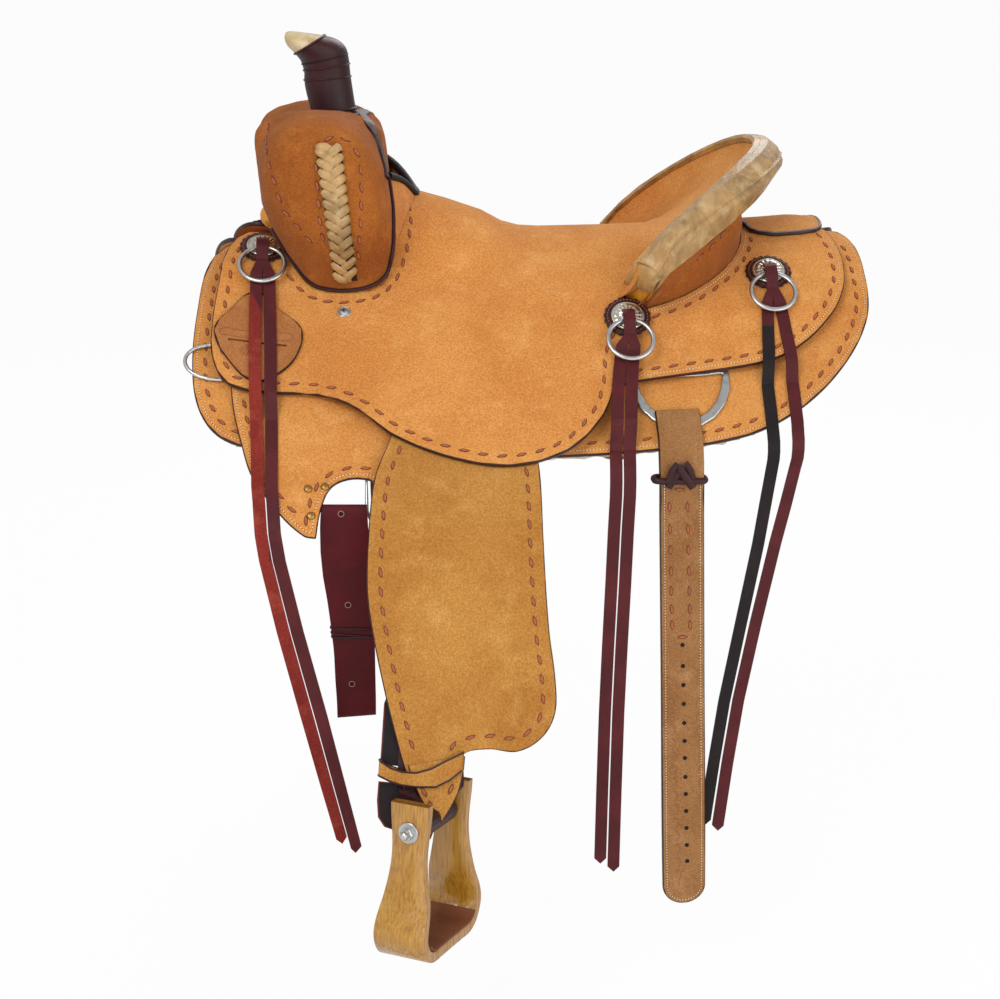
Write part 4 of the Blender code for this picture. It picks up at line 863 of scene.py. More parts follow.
@dataclass
class Studio:
    """Camera, lights, floor and background."""

    azimuth: float = -5.0
    elevation: float = 16.0
    distance: float = 2.0
    focal_px: float = 1923.0
    target: Vector = field(default_factory=lambda: Vector((0.0, -0.20, -0.219)))
    seen_at: tuple[float, float] = (535.0, 499.5)
    floor_z: float = -0.74

    def back(self) -> Vector:
        """The direction from the target to the camera."""
        a, e = radians(self.azimuth), radians(self.elevation)
        return Vector((sin(a) * cos(e), -cos(a) * cos(e), sin(e)))

    def ray(self, px: float, py: float) -> tuple[Vector, Vector]:
        """The line of sight through a pixel of the 1000 x 999 frame.

        Args:
            px: Pixels from the left.
            py: Pixels from the top.

        Returns:
            The camera's place and the direction.
        """
        back = self.back()
        right = Vector((0, 0, 1)).cross(back).normalized()
        up = back.cross(right)
        way = -back * self.focal_px + right * (px - self.seen_at[0]) - up * (py - self.seen_at[1])
        return self.target + back * self.distance, way.normalized()

    def build(self) -> None:
        """Sets up the camera, the lamps, the floor and the world."""
        scene = bpy.context.scene
        scene.view_settings.view_transform = "Standard"
        data = bpy.data.cameras.new("camera")
        cam = bpy.data.objects.new("camera", data)
        scene.collection.objects.link(cam)
        cam.location = self.target + self.back() * self.distance
        cam.rotation_mode = "QUATERNION"
        cam.rotation_quaternion = (-self.back()).to_track_quat("-Z", "Y")
        data.sensor_width, data.lens = 36.0, 36.0 * self.focal_px / 1000.0
        data.shift_x = -(self.seen_at[0] - 500.0) / 1000.0
        data.clip_start, data.clip_end = 0.05, 2000.0
        scene.camera = cam
        for name, power, size, place, aim in (
                ("key", 46.0, 1.6, (-1.5, -2.3, 2.1), (0, -0.1, -0.1)),
                ("fill", 27.0, 2.2, (1.9, -2.2, 0.7), (0, -0.1, -0.2)),
                ("low", 13.0, 2.0, (-0.2, -2.6, -0.5), (0, -0.2, -0.35)),
                ("rim", 26.0, 1.5, (0.8, 2.0, 1.7), (0, 0, 0))):
            lamp = bpy.data.lights.new(name, "AREA")
            lamp.energy, lamp.size = power, size
            obj = bpy.data.objects.new(name, lamp)
            scene.collection.objects.link(obj)
            obj.location = place
            obj.rotation_mode = "QUATERNION"
            obj.rotation_quaternion = (Vector(aim) - Vector(place)).to_track_quat("-Z", "Y")
        self.floor()
        self.world()

    def floor(self) -> None:
        """The pale floor, white to the camera but for the soft shadow on it."""
        mesh = bpy.data.meshes.new("floor")
        half, z = 600.0, self.floor_z
        corners = [(-half, -half, z), (half, -half, z), (half, half, z), (-half, half, z)]
        mesh.from_pydata(corners, [], [(0, 1, 2, 3)])
        net = Net("floor")
        path = net.add("ShaderNodeLightPath", {}, {}, "Is Camera Ray")
        glow = net.add("ShaderNodeEmission", {}, {"Color": (1.0, 1.0, 1.0), "Strength": 1.0})
        lit = Value(net, net.shader.outputs[0])
        shade = net.add("ShaderNodeMixShader", {}, {0: path * 0.94, 1: lit, 2: glow})
        net.links.new(shade.socket, net.nodes["Material Output"].inputs["Surface"])
        mesh.materials.append(net.finish(Base_Color=(0.86, 0.86, 0.86), Roughness=0.9))
        obj = bpy.data.objects.new("floor", mesh)
        bpy.context.scene.collection.objects.link(obj)

    def world(self) -> None:
        """An even soft light that shows white to the camera and in metal."""
        world = bpy.data.worlds.new("studio")
        bpy.context.scene.world = world
        world.use_nodes = True
        nodes, links = world.node_tree.nodes, world.node_tree.links
        path, ramp = nodes.new("ShaderNodeLightPath"), nodes.new("ShaderNodeMapRange")
        back = nodes["Background"]
        seen = nodes.new("ShaderNodeMath")
        seen.operation, seen.use_clamp = "ADD", True
        links.new(path.outputs["Is Camera Ray"], seen.inputs[0])
        links.new(path.outputs["Is Transmission Ray"], seen.inputs[1])
        links.new(seen.outputs[0], ramp.inputs["Value"])
        ramp.inputs["To Min"].default_value, ramp.inputs["To Max"].default_value = 0.58, 1.0
        back.inputs["Color"].default_value = (1, 1, 1, 1)
        links.new(ramp.outputs[0], back.inputs["Strength"])


@dataclass
class Stitcher:
    """Lacing and thread along lines on the leather."""

    covers: Covers
    pitch: float = 0.0188
    length: float = 0.0118
    width: float = 0.0041
    slant: tuple[float, float] = (0.985, 0.17)
    thread_pitch: float = 0.0034

    def lacing(self, name: str, lines: Iterable[Sequence[Spot]], body: str = "saddle", hide: bool = True,
               pitch: "float | None" = None) -> None:
        """Buckstitch: short slanted lozenges of lace with a dark rim and a paler face."""
        self.sew(self.slanted, [LACE, LACE_FACE], name, lines, body, hide, pitch or self.pitch)

    def thread(self, name: str, lines: Iterable[Sequence[Spot]], body: str = "saddle", hide: bool = True,
               pitch: "float | None" = None) -> None:
        """Fine white saddle stitching, with a dark patch of painted shade after each stitch for its hole."""
        self.sew(self.stitch, [WHITE, HOLE_SHADE], name, lines, body, hide, pitch or self.thread_pitch)

    def sew(self, add: Callable, finishes: list, name: str, lines: Iterable[Sequence[Spot]], body: str,
            hide: bool, pitch: float) -> None:
        """Sews along lines.

        Args:
            add: Adds one stitch.
            finishes: The finishes of the stitches.
            name: The piece's name.
            lines: Lines of spots.
            body: The body it rides on.
            hide: Whether covered stitches are left out.
            pitch: The step.
        """
        maker = Maker()
        for spots in lines:
            for at, along, out in walk(spots, pitch):
                if not (hide and self.covers.over(at, out)):
                    add(maker, at, along, out)
        if maker.faces:
            maker.make(name, body, finishes, "latigo_leather")

    def slanted(self, maker: Maker, at: Vector, along: Vector, out: Vector) -> None:
        """Adds one lozenge, slanted across the line."""
        ahead, aside = self.slant
        self.lozenge(maker, at, (along * ahead + out.cross(along) * aside).normalized(), out)

    def lozenge(self, maker: Maker, at: Vector, along: Vector, out: Vector) -> None:
        """Adds one lozenge with its sunken rim.

        Args:
            maker: Collects it.
            at: Its middle.
            along: The direction it is long along.
            out: The direction out of the leather.
        """
        half_length, half_width = along * (self.length / 2), out.cross(along) * (self.width / 2)
        shape = [(1.0, 0.0), (0.62, 0.72), (-0.35, 1.0), (-1.0, 0.0), (-0.62, -0.72), (0.35, -1.0)]
        rings = [[at + half_length * (a * far) + half_width * (b * wide) + out * h for a, b in shape]
                 for far, wide, h in ((1.0, 1.0, -0.0004), (0.96, 0.96, 0.0004), (0.74, 0.62, 0.0007),
                                      (0.58, 0.46, 0.0004))]
        maker.loft(rings[:3], 0, caps=False)
        maker.loft(rings[2:], 1)

    @staticmethod
    def stitch(maker: Maker, at: Vector, along: Vector, out: Vector) -> None:
        """Adds one stitch and, after it, a dark patch of painted shade for its hole.

        Args:
            maker: Collects it.
            at: Its middle.
            along: The direction it is long along.
            out: The direction out of the leather.
        """
        side = out.cross(along)
        a, b = along * 0.00115, side * 0.00052
        low, top = at - out * 0.0003, at + out * 0.00045
        maker.loft([[low - a * 1.15, low + b, low + a * 1.15, low - b],
                    [top - a * 0.8, top + b * 0.8, top + a * 0.8, top - b * 0.8]])
        # The hole after the stitch is a thin dark patch standing a little proud: painted shade.
        hole = at + along * 0.0017
        maker.loft([[hole + along * u * 0.00045 + side * v * 0.00055 + out * h
                     for u, v in ((1, 0), (0, 1), (-1, 0), (0, -1))] for h in (-0.0002, 0.00012)], 1)


@dataclass
class Panel:
    """One leather panel: its pattern, its face and its thickness."""

    name: str
    outline: list
    top: Height
    thick: float
    body: str = "saddle"
    bends: tuple = BENDS
    closed: bool = True

    def inward(self, line: list[Vector]) -> list[Vector]:
        """The direction into the panel at each point of its outline.

        Args:
            line: The outline's points.

        Returns:
            One unit vector for each.
        """
        turn = copysign(1, sum(a.x * b.y - b.x * a.y for a, b in zip(line, line[1:] + line[:1])))
        out = []
        for i, at in enumerate(line):
            before = line[i - 1] if self.closed or i else at
            after = line[(i + 1) % len(line)] if self.closed or i < len(line) - 1 else at
            along = (after - before).normalized()
            out.append(Vector((-along.y, along.x)) * turn)
        return out

    def line(self, distance: float = 0.0) -> list[Vector]:
        """The outline, moved in by a distance.

        Args:
            distance: How far in from the edge.

        Returns:
            Its points, without moved ones that came too close to the edge at inner corners.
        """
        line = curve_through(self.outline, self.closed)
        if not distance:
            return line
        moved = [at + way * distance for at, way in zip(line, self.inward(line))]
        return [p for p in moved if min((p - q).length for q in line) > abs(distance) * 0.96]

    def spots(self, distance: float, part: "Callable[[Vector], bool] | None" = None) -> list[list[Spot]]:
        """Places on the face along the moved outline.

        Args:
            distance: How far in from the edge.
            part: Which of the line's points count.

        Returns:
            One list of spots for each stretch.
        """
        line = self.line(distance)
        runs, run = [], []
        for p in line + ([line[0]] if self.closed else []):
            if part is None or part(p):
                run.append(self.spot(p))
            elif run:
                runs.append(run)
                run = []
        if run:
            runs.append(run)
        return [r for r in runs if len(r) > 1]

    def spot(self, p: Vector) -> Spot:
        """The place on the face at a pattern point.

        Args:
            p: The pattern point.

        Returns:
            The place, with the way out of the leather.
        """
        def face(x: float, s: float) -> Vector:
            """The face at a pattern point."""
            return lay(x, s, self.top(x, s), self.bends)
        e = 0.0015
        dx, ds = face(p.x + e, p.y) - face(p.x - e, p.y), face(p.x, p.y + e) - face(p.x, p.y - e)
        out = dx.cross(ds).normalized()
        return Spot(face(p.x, p.y), out if out.z > 0 or (abs(out.z) < 0.3 and out.y < 0) else -out)

    def bead(self, side: Side, proud: float = 0.0011, skip: int = 0) -> None:
        """The rounded, burnished edge of the panel.

        Args:
            side: The side it is on.
            proud: How far it stands out.
            skip: How many points at the start have none.
        """
        line, half, sunk = self.line()[skip:], self.thick / 2, 0.0001
        rings = []
        for at, inward in zip(line, self.inward(line)):
            ring = []
            for t in turns(8):
                p = at - inward * (proud * cos(t) - sunk)
                h = self.top(at.x, at.y) - half + (half + sunk) * sin(t)
                ring.append(side.place(lay(p.x, p.y, h, self.bends)))
            rings.append(ring)
        maker = Maker()
        maker.loft(rings, closed=self.closed)
        body = self.body.replace("left", side.value)
        maker.make("edge_%s_%s" % (self.name, side.value), body, [EDGE], "dark_leather")


SEAT_PANEL = Panel("seat", SEAT, seat_top, SEAT_T, closed=False)
JOCKEY_PANEL = Panel("rear_jockey", JOCKEY, jockey_top, JOCKEY_T)


def painted() -> None:
    """Gives every CAD node its finish, and the second tail of a string pair its own."""
    finishes = {
        "tree": TREE_HIDE, "horn_wrap": DARK, "horn": NOSE, "fork_cover": FORK_HIDE, "braid_inlay": RAWHIDE,
        "ground_seat": LEAF_HIDE, "seat": ROUGHOUT, "cantle_binding": RAWHIDE, "cantle_back": FORK_HIDE,
        "rear_jockey": ROUGHOUT, "skirt": ROUGHOUT, "fleece": WOOL, "rigging_dee": STEEL, "rigging": ROUGHOUT,
        "keeper_leaf": LEAF_HIDE, "concho": SILVER, "ring": STEEL, "string": STRING_RED, "breast_dee": STEEL,
        "rear_dee": STEEL, "rear_billet": BILLET_HIDE, "latigo": BURGUNDY, "off_billet": BURGUNDY,
        "fender": FENDER_HIDE, "stirrup_leather": DARK, "hobble_strap": LEAF_HIDE, "stirrup_bolt": STEEL,
        "stirrup_tread": TREAD, "stirrup": OAK}
    tails = {"string_front": FLESH, "string_rear": BLACK}
    row_height, tails_below = 0.03, 0.058
    for name, node in frame["nodes"].items():
        node.data.materials.clear()
        key = max((k for k in finishes if name.startswith(k)), key=len)
        node.data.materials.append(finishes[key].material())
        tail = next((finish for k, finish in tails.items() if name.startswith(k)), None)
        if not tail:
            for poly in node.data.polygons:
                poly.material_index = 0
            continue
        node.data.materials.append(tail.material())
        polygons = node.data.polygons
        low = max(p.center.z for p in polygons) - tails_below
        for poly in polygons:
            row = [p.center.x for p in polygons if abs(p.center.z - poly.center.z) < row_height]
            middle = (min(row) + max(row)) / 2
            poly.material_index = int(poly.center.x < middle and poly.center.z < low)


@dataclass
class Panels:
    """The flat leather of both sides: edges, lacing and thread."""

    stitcher: Stitcher
    skirt: Panel = field(default_factory=lambda: Panel("skirt", SKIRT, level(H_SKIRT_TOP), 0.005))
    rigging: Panel = field(default_factory=lambda: Panel("rigging", RIGGING, level(H_RIGGING_TOP), 0.004))
    fender: Panel = field(default_factory=lambda: Panel("fender", FENDER, level(H_FENDER_TOP), 0.004,
                                                        body="fender_left_body"))
    bare_seat_points: int = 34

    @staticmethod
    def off_fork(p: Vector) -> bool:
        """Whether a place of the seat's pattern is away from the fork's opening."""
        return p.y > 0.02 and not (-0.272 < p.x < -0.08 and p.y < 0.125)

    def build(self) -> None:
        """Builds every side's trim."""
        sewn = self.stitcher
        for side in Side:
            for panel in (self.skirt, self.rigging, JOCKEY_PANEL, SEAT_PANEL, self.fender):
                panel.bead(side, skip=self.bare_seat_points if panel is SEAT_PANEL else 0)
            tag = side.value
            for work, name, panel, distance, part in (
                    (sewn.lacing, "lacing_skirt_", self.skirt, 0.0125, lambda p: p.y > 0.04),
                    (sewn.thread, "thread_skirt_", self.skirt, 0.0042, lambda p: p.y > 0.02),
                    (sewn.lacing, "lacing_rigging_", self.rigging, 0.011, None),
                    (sewn.thread, "thread_rigging_", self.rigging, 0.0040, None),
                    (sewn.lacing, "lacing_jockey_", JOCKEY_PANEL, 0.0110, lambda p: p.y > 0.02),
                    (sewn.thread, "thread_jockey_", JOCKEY_PANEL, 0.0045, lambda p: p.y > 0.01),
                    (sewn.lacing, "lacing_seat_", SEAT_PANEL, 0.0100, self.off_fork),
                    (sewn.lacing, "lacing_fender_", self.fender, 0.0125, lambda p: p.y < 0.590)):
                body = panel.body.replace("left", tag)
                work(name + tag, both(panel.spots(distance, part), side), body)


@dataclass(frozen=True)
class Setting:
    """Where a concho is set: its pattern place, the face under it, its lift, and what its ring spans."""

    name: str
    x: float
    s: float
    top: Height
    lift: float = 0.0
    under: float = 0.0


@dataclass
class Ornaments:
    """Conchos on their rosettes, and the rings in them."""

    radius: float = 0.0175
    rosette_radius: float = 0.0250
    scallops: int = 20
    scallop_depth: float = 0.052
    stitches: int = 36

    settings: tuple[Setting, ...] = (Setting("front", -0.277, 0.056, seat_top, 0.0005, 0.0038),
                                     Setting("middle", 0.101, 0.145, seat_top),
                                     Setting("rear", 0.258, 0.095, jockey_top))

    def build(self) -> None:
        """Builds them on both sides."""
        for setting in self.settings:
            for side in Side:
                self.concho(setting, side)
                self.ring(setting, side)

    def concho(self, setting: Setting, side: Side) -> None:
        """One engraved concho on a scalloped leather rosette.

        Args:
            setting: Where it is set.
            side: Its side.
        """
        cx, cs = setting.x, setting.s
        height = setting.top(cx, cs) + GAP + setting.lift
        along = (lay(cx + 0.02, cs, height) - lay(cx - 0.02, cs, height)).normalized()
        out = along.cross(lay(cx, cs + 0.002, height) - lay(cx, cs - 0.002, height)).normalized()
        out = out if out.z > 0 else -out
        spot, along = Spot(lay(cx, cs, height), out).on(side), side.place(along)
        tag = "%s_%s" % (setting.name, side.value)
        rosette = self.rosette(spot, along, tag)
        cap = self.silver(spot, along, tag)
        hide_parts("concho_" + tag)
        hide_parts("concho_" + tag)

    def rosette(self, spot: Spot, along: Vector, tag: str) -> bpy.types.Object:
        """The scalloped leather under a concho, with a ring of stitches.

        Args:
            spot: Its middle.
            along: A direction in its plane.
            tag: Its place and side.

        Returns:
            The object.
        """
        axis = spot.out.normalized()
        u = (along - axis * along.dot(axis)).normalized()
        v = axis.cross(u)
        leather, rings = Maker(), []
        for share, h in ((0.97, 0.0), (1.0, 0.0012), (0.98, 0.0024), (0.93, ROSETTE_T), (0.70, ROSETTE_T)):
            ring = []
            for t in turns(120):
                wave = 1 - self.scallop_depth * (1 - abs(sin(t * self.scallops / 2)) ** 1.5)
                radial = u * cos(t) + v * sin(t)
                ring.append(spot.at + radial * (self.rosette_radius * share * wave) + axis * h)
            rings.append(ring)
        leather.loft(rings)
        for t in turns(self.stitches, 0.5):
            radial, tangent = u * cos(t) + v * sin(t), v * cos(t) - u * sin(t)
            p = spot.at + radial * self.rosette_radius * 0.84 + axis * ROSETTE_T
            leather.loft([[p + tangent * a * w * 0.00145 + radial * b * w * 0.0006 + axis * h
                           for a, b in ((1, 0), (0, 1), (-1, 0), (0, -1))]
                          for w, h in ((1.0, -0.0002), (0.8, 0.0005))], 1)
        return leather.make("rosette_" + tag, "saddle", [DARK, LACE_FACE], "dark_leather")

    def silver(self, spot: Spot, along: Vector, tag: str) -> bpy.types.Object:
        """The domed, engraved silver of a concho.

        Args:
            spot: Its middle.
            along: A direction in its plane.
            tag: Its place and side.

        Returns:
            The object.
        """
        def relief(t: float, r: float) -> float:
            """Scrolls and petals raised inside a milled rim.

            Args:
                t: The angle.
                r: The distance from the middle.

            Returns:
                The extra height.
            """
            share = r / self.radius
            if share >= 0.995:
                return 0.0
            if share > 0.90:
                return 0.00035 * (0.5 + 0.5 * cos(48 * t))
            if share > 0.84:
                return -0.00035
            scroll = cos(8 * t + 9.0 * share) * cos(8 * t - 9.0 * share)
            return 0.00042 * scroll * smooth((share - 0.15) / 0.15) * smooth((0.84 - share) / 0.06)
        steps = [(1.0, ROSETTE_T), (1.0, ROSETTE_T + 0.0013)]
        steps += [(k / 22, ROSETTE_T + 0.0016 + 0.0022 * (1 - (k / 22) ** 2)) for k in range(21, 0, -1)]
        silver = Maker()
        silver.dome(spot.at, along, spot.out, [(self.radius * q, h) for q, h in steps], 144, 0, relief)
        return silver.make("concho_face_" + tag, "saddle", [SILVER], "nickel_silver", angle=60)

    def ring(self, setting: Setting, side: Side) -> None:
        """One ring, its band a little flattened.

        Args:
            setting: Where its concho is set.
            side: Its side.
        """
        cx, cs, top = setting.x, setting.s, setting.top
        raised = ROSETTE_T + CONCHO_T + RING_WIRE_R + GAP
        first = lay(cx, cs + RING_DROP, top(cx, cs + RING_DROP) + raised)
        foot_s = cs + RING_DROP + 2 * RING_R
        foot = lay(cx, foot_s, top(cx, foot_s) + setting.under + 8 * GAP + STRING_T + RING_WIRE_R)
        foot = first + (foot - first).normalized() * 2 * RING_R
        centre, down = (first + foot) / 2, (foot - first) / 2
        across = Vector((RING_R, 0, 0))
        normal = across.cross(down).normalized()
        points = [side.place(centre - down * cos(t) + across * sin(t)) for t in turns(64)]
        maker = Maker()
        maker.tube(points, RING_WIRE_R, 12, True, out=side.place(normal), flat=0.80)
        name = "%s_%s" % (setting.name, side.value)
        made = maker.make("ring_steel_" + name, "ring_%s_body" % name, [STEEL], "stainless_steel")
        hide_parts("ring_" + name)


def hang(start: float, end: float, slope: float = 88.0) -> tuple[tuple[float, float], ...]:
    """The barrel's cross-section with its last bend moved."""
    return (0.0, 0.0), (0.050, 26.0), (0.140, 44.0), (start, 44.0), (end, slope), (2.0, slope)


def eased(value: float, low: tuple[float, float], high: tuple[float, float]) -> float:
    """A value that runs smoothly from one (place, value) pair to the next."""
    return low[1] + (high[1] - low[1]) * smooth((value - low[0]) / (high[0] - low[0]))


@dataclass
class Sight:
    """Finds places on pieces where they are seen from the camera."""

    studio: Studio

    def line(self, nodes: "Node | Sequence[Node]", pixels: Sequence[tuple[float, float]],
             per: int = 6) -> list[Spot]:
        """Places on the nearest of some nodes along a line in the picture.

        Args:
            nodes: The node or nodes.
            pixels: The line's points in the 1000 x 999 frame.
            per: Steps between two points; 1 keeps the points alone.

        Returns:
            The places, without those that miss the nodes.
        """
        points = pixels if per == 1 else [(p.x * 1000, p.y * 1000) for p in curve_through(pixels, False, per)]
        out = []
        for point in points:
            start, way = self.studio.ray(*point)
            hits = [n.along(start, way) for n in ([nodes] if isinstance(nodes, Node) else nodes)]
            hits = [hit for hit in hits if hit]
            if hits:
                out.append(min(hits, key=lambda hit: (hit.at - start).length))
        return out

    def on_plane(self, px: float, py: float, point: Vector, normal: Vector) -> Vector:
        """Where the line of sight through a pixel meets a plane."""
        start, way = self.studio.ray(px, py)
        return start + way * ((point - start).dot(normal) / way.dot(normal))


def bridge(maker: Maker, first: Sequence[Spot], last: Sequence[Spot], side: Side, bulge: float,
           thick: float) -> None:
    """Adds leather that spans from one line to another, swelling outwards between them.

    Args:
        maker: Collects it.
        first: One line.
        last: The other, in the same order.
        side: The side.
        bulge: How far its middle stands out.
        thick: Its thickness.
    """
    rings = []
    for a, b in zip(even(first, 16), even(last, 16)):
        face, back = [], []
        for k in range(9):
            t = k / 8
            out = a.out.lerp(b.out, t).normalized()
            p = a.at.lerp(b.at, t) + out * bulge * sin(pi * t)
            face.append(side.place(p))
            back.append(side.place(p - out * thick))
        rings.append(face + back[::-1])
    maker.loft(rings)


@dataclass
class Fork:
    """Lacing, dark edge, braid and screw of the fork, and the leather behind it.

    Lines are pixels of the 1000 x 999 frame, found again on the leather by sight.
    """

    stitcher: Stitcher
    sight: Sight
    front: tuple = ((269, 122), (266, 146), (270, 168), (276, 187), (283, 209), (293, 221), (303, 233),
                    (314, 246))
    arch: tuple = ((324, 245), (320, 222), (318, 196), (316, 165), (318, 147), (331, 138), (346, 140),
                   (358, 156), (361, 184), (361, 211), (360, 230), (359, 247), (358, 262))
    around: tuple = ((409, 201), (411, 214), (410, 229), (408, 244), (404, 260), (398, 276), (388, 289),
                     (373, 298), (357, 301.5), (341, 302.5), (325, 301), (309, 296), (297, 286), (286, 272))
    rim: tuple = ((265, 212), (271, 226), (279, 240), (287, 253), (296, 266), (305, 277), (315, 285),
                  (328, 288.5), (341, 290), (356, 289), (369, 286), (380, 280), (387, 271), (390, 258),
                  (392, 244), (392.5, 226), (392, 208), (390, 192), (387.5, 176))
    seat_from: int = 13
    braid_top: tuple = (328.5, 147.0)
    braid_foot: tuple = (346.0, 280.0)
    braid_half: tuple = (12.6, 11.2)
    braid_rows: int = 13
    strand: float = 0.0043
    screw_at: tuple = (344, 312)
    lip_at: tuple = (272, 215)

    def build(self) -> None:
        """Builds both sides."""
        cover, seat = Node("fork_cover"), Node("seat")
        front = max(SEAT_PANEL.spots(0.0, lambda p: p.x > -0.190 and 0.011 < p.y < 0.104), key=len)
        front = [Spot(s.at - s.out * 0.0006, s.out) for s in front if s.at.x < -0.10]
        facing = Vector((0.35, -0.75, 0.55)).normalized()
        joint = self.sight.line(cover, self.rim[self.seat_from:])[::-1]
        joint = [Spot(s.at + s.out * 0.0008, facing) for s in joint]
        for side in Side:
            tag, fill = side.value, Maker()
            bridge(fill, front, joint, side, 0.004, 0.0045)
            filled = fill.make("seat_front_" + tag, "saddle", [ROUGHOUT], "roughout_leather", angle=60)
            if side is Side.NEAR:
                near = Node("seat_front", filled.data)
            lines = [self.sight.line(cover, line) for line in (self.front, self.arch)]
            self.stitcher.lacing("lacing_fork_" + tag, both(lines, side), hide=False, pitch=0.0170)
            self.edge(side, cover, front[0].at, joint[0].at)
            around = [self.sight.line([seat, near], self.around)]
            self.stitcher.lacing("lacing_round_fork_" + tag, both(around, side), hide=False, pitch=0.0165)
            self.braid(side, cover)
            self.screw(side, seat)
        self.lip()

    def edge(self, side: Side, cover: Node, low: Vector, high: Vector) -> None:
        """The dark piping round the fork's leather, and the black lip of the seat behind it.

        Args:
            side: The side it is on.
            cover: The fork's leather.
            low: The lip's end on the seat.
            high: The lip's end on the fork.
        """
        ring = Maker()
        ring.tube([side.place(s.at + s.out * 0.0012) for s in self.sight.line(cover, self.rim)], 0.0021, 8)
        lip = [low.lerp(high, k / 5) + Vector((0, 0, 0.004 * sin(pi * k / 5))) for k in range(6)]
        lip = [Vector((lip[0].x + 0.001, 0, lip[0].z + 0.001))] + lip
        ring.tube(side.row(lip), 0.0046, 10, tag=1)
        ring.make("fork_edge_" + side.value, "saddle", [DARK, BLACK], "dark_leather")

    def lip(self) -> None:
        """The tree's varnished lip in front of the fork."""
        maker = Maker()
        at = self.sight.on_plane(*self.lip_at, Vector((0, -0.030, 0)), Vector((0, 1, 0)))
        rings = [(0.0135, -0.020), (0.0135, 0.0), (0.0126, 0.004), (0.0104, 0.0078), (0.0070, 0.0106),
                 (0.0030, 0.0121), (0.0008, 0.0124)]
        maker.dome(at, Vector((0, 1, 0)), Vector((-0.80, -0.25, 0.55)), rings, 24)
        maker.make("tree_lip", "saddle", [TREE_HIDE], "tree_rawhide", angle=60)

    def braid(self, side: Side, cover: Node) -> None:
        """The rawhide plait: wide strands that cross from both edges over a slot, which is a dark slab of
        painted shade.

        Args:
            side: The side it is on.
            cover: The fork's leather.
        """
        leather = [cover, Node("braid_inlay_left")]
        (x0, y0), (x1, y1), (wide, narrow) = self.braid_top, self.braid_foot, self.braid_half

        def at(u: float, v: float, lift: float) -> Spot:
            """A place on the inlay.

            Args:
                u: From -1 to 1 across.
                v: From 0 to 1 down.
                lift: How far out of the leather.

            Returns:
                The place.
            """
            half = wide + (narrow - wide) * v
            spot = self.sight.line(leather, [(x0 + (x1 - x0) * v + half * u, y0 + (y1 - y0) * v)], 1)[0]
            return Spot(spot.at + spot.out * lift, spot.out)
        maker = Maker()
        grid = [[at(-1.0 + i / 3, -0.005 + 1.01 * j / 24, 0.0004) for i in range(7)] for j in range(25)]
        # The slot is a thin dark slab on the inlay: painted shade between the strands.
        slot = [[s.at for s in row] + [s.at - s.out * 0.004 for s in reversed(row)] for row in grid]
        maker.loft([side.row(ring) for ring in slot], 1)
        strands = 2 * self.braid_rows
        for k in range(strands + 1):
            hand = 1 if k % 2 else -1
            points, start = [], -0.055 + k / strands
            for t in (0.0, 0.07, 0.2, 0.36, 0.52, 0.68, 0.84, 1.0):
                v = min(max(start + 0.108 * t, 0.006), 0.996)
                lift = 0.0006 + 0.0021 * smooth(t / 0.22) - 0.0033 * smooth((t - 0.45) / 0.5)
                points.append(at(hand * (1.02 - 1.5 * t), v, lift))
            rings = []
            for i, s in enumerate(points):
                along = (points[min(i + 1, len(points) - 1)].at - points[max(i - 1, 0)].at).normalized()
                across = s.out.cross(along).normalized()
                if along.length < 0.5 or across.z == 0:
                    continue
                size = self.strand * (0.62 + 0.38 * smooth(i / 2))
                rings.append([side.place(s.at + across * size * cos(q) + s.out * 0.0016 * sin(q))
                              for q in turns(10)])
            maker.loft(rings, 0)
        made = maker.make("braid_" + side.value, "saddle", [RAWHIDE, HOLE_SHADE], "rawhide", angle=70)
        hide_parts("braid_inlay_" + side.value)

    def screw(self, side: Side, seat: Node) -> None:
        """The screw and washer below the fork; its cross slots are two dark bars of painted shade.

        Args:
            side: The side it is on.
            seat: The seat's leather.
        """
        spot = self.sight.line(seat, [self.screw_at], 1)[0].on(side)
        along, maker = Vector((1, 0, 0)), Maker()
        rings = [(0.0072, 0.0), (0.0072, 0.0009), (0.0066, 0.0013), (0.0050, 0.0010), (0.0046, 0.0016),
                 (0.0040, 0.0025), (0.0022, 0.0029)]
        maker.dome(spot.at, along, spot.out, rings, 24)
        cross = spot.out.cross(along).normalized()
        # The cross slots are dark bars standing a little proud: painted shade.
        for a, b in ((along, cross), (cross, along)):
            maker.loft([[spot.at + spot.out * h + a * p * 0.0024 + b * q * 0.0005
                         for p, q in ((-1, -1), (1, -1), (1, 1), (-1, 1))] for h in (0.0026, 0.00305)], 1)
        maker.make("seat_screw_" + side.value, "saddle", [STEEL, HOLE_SHADE], "stainless_steel")


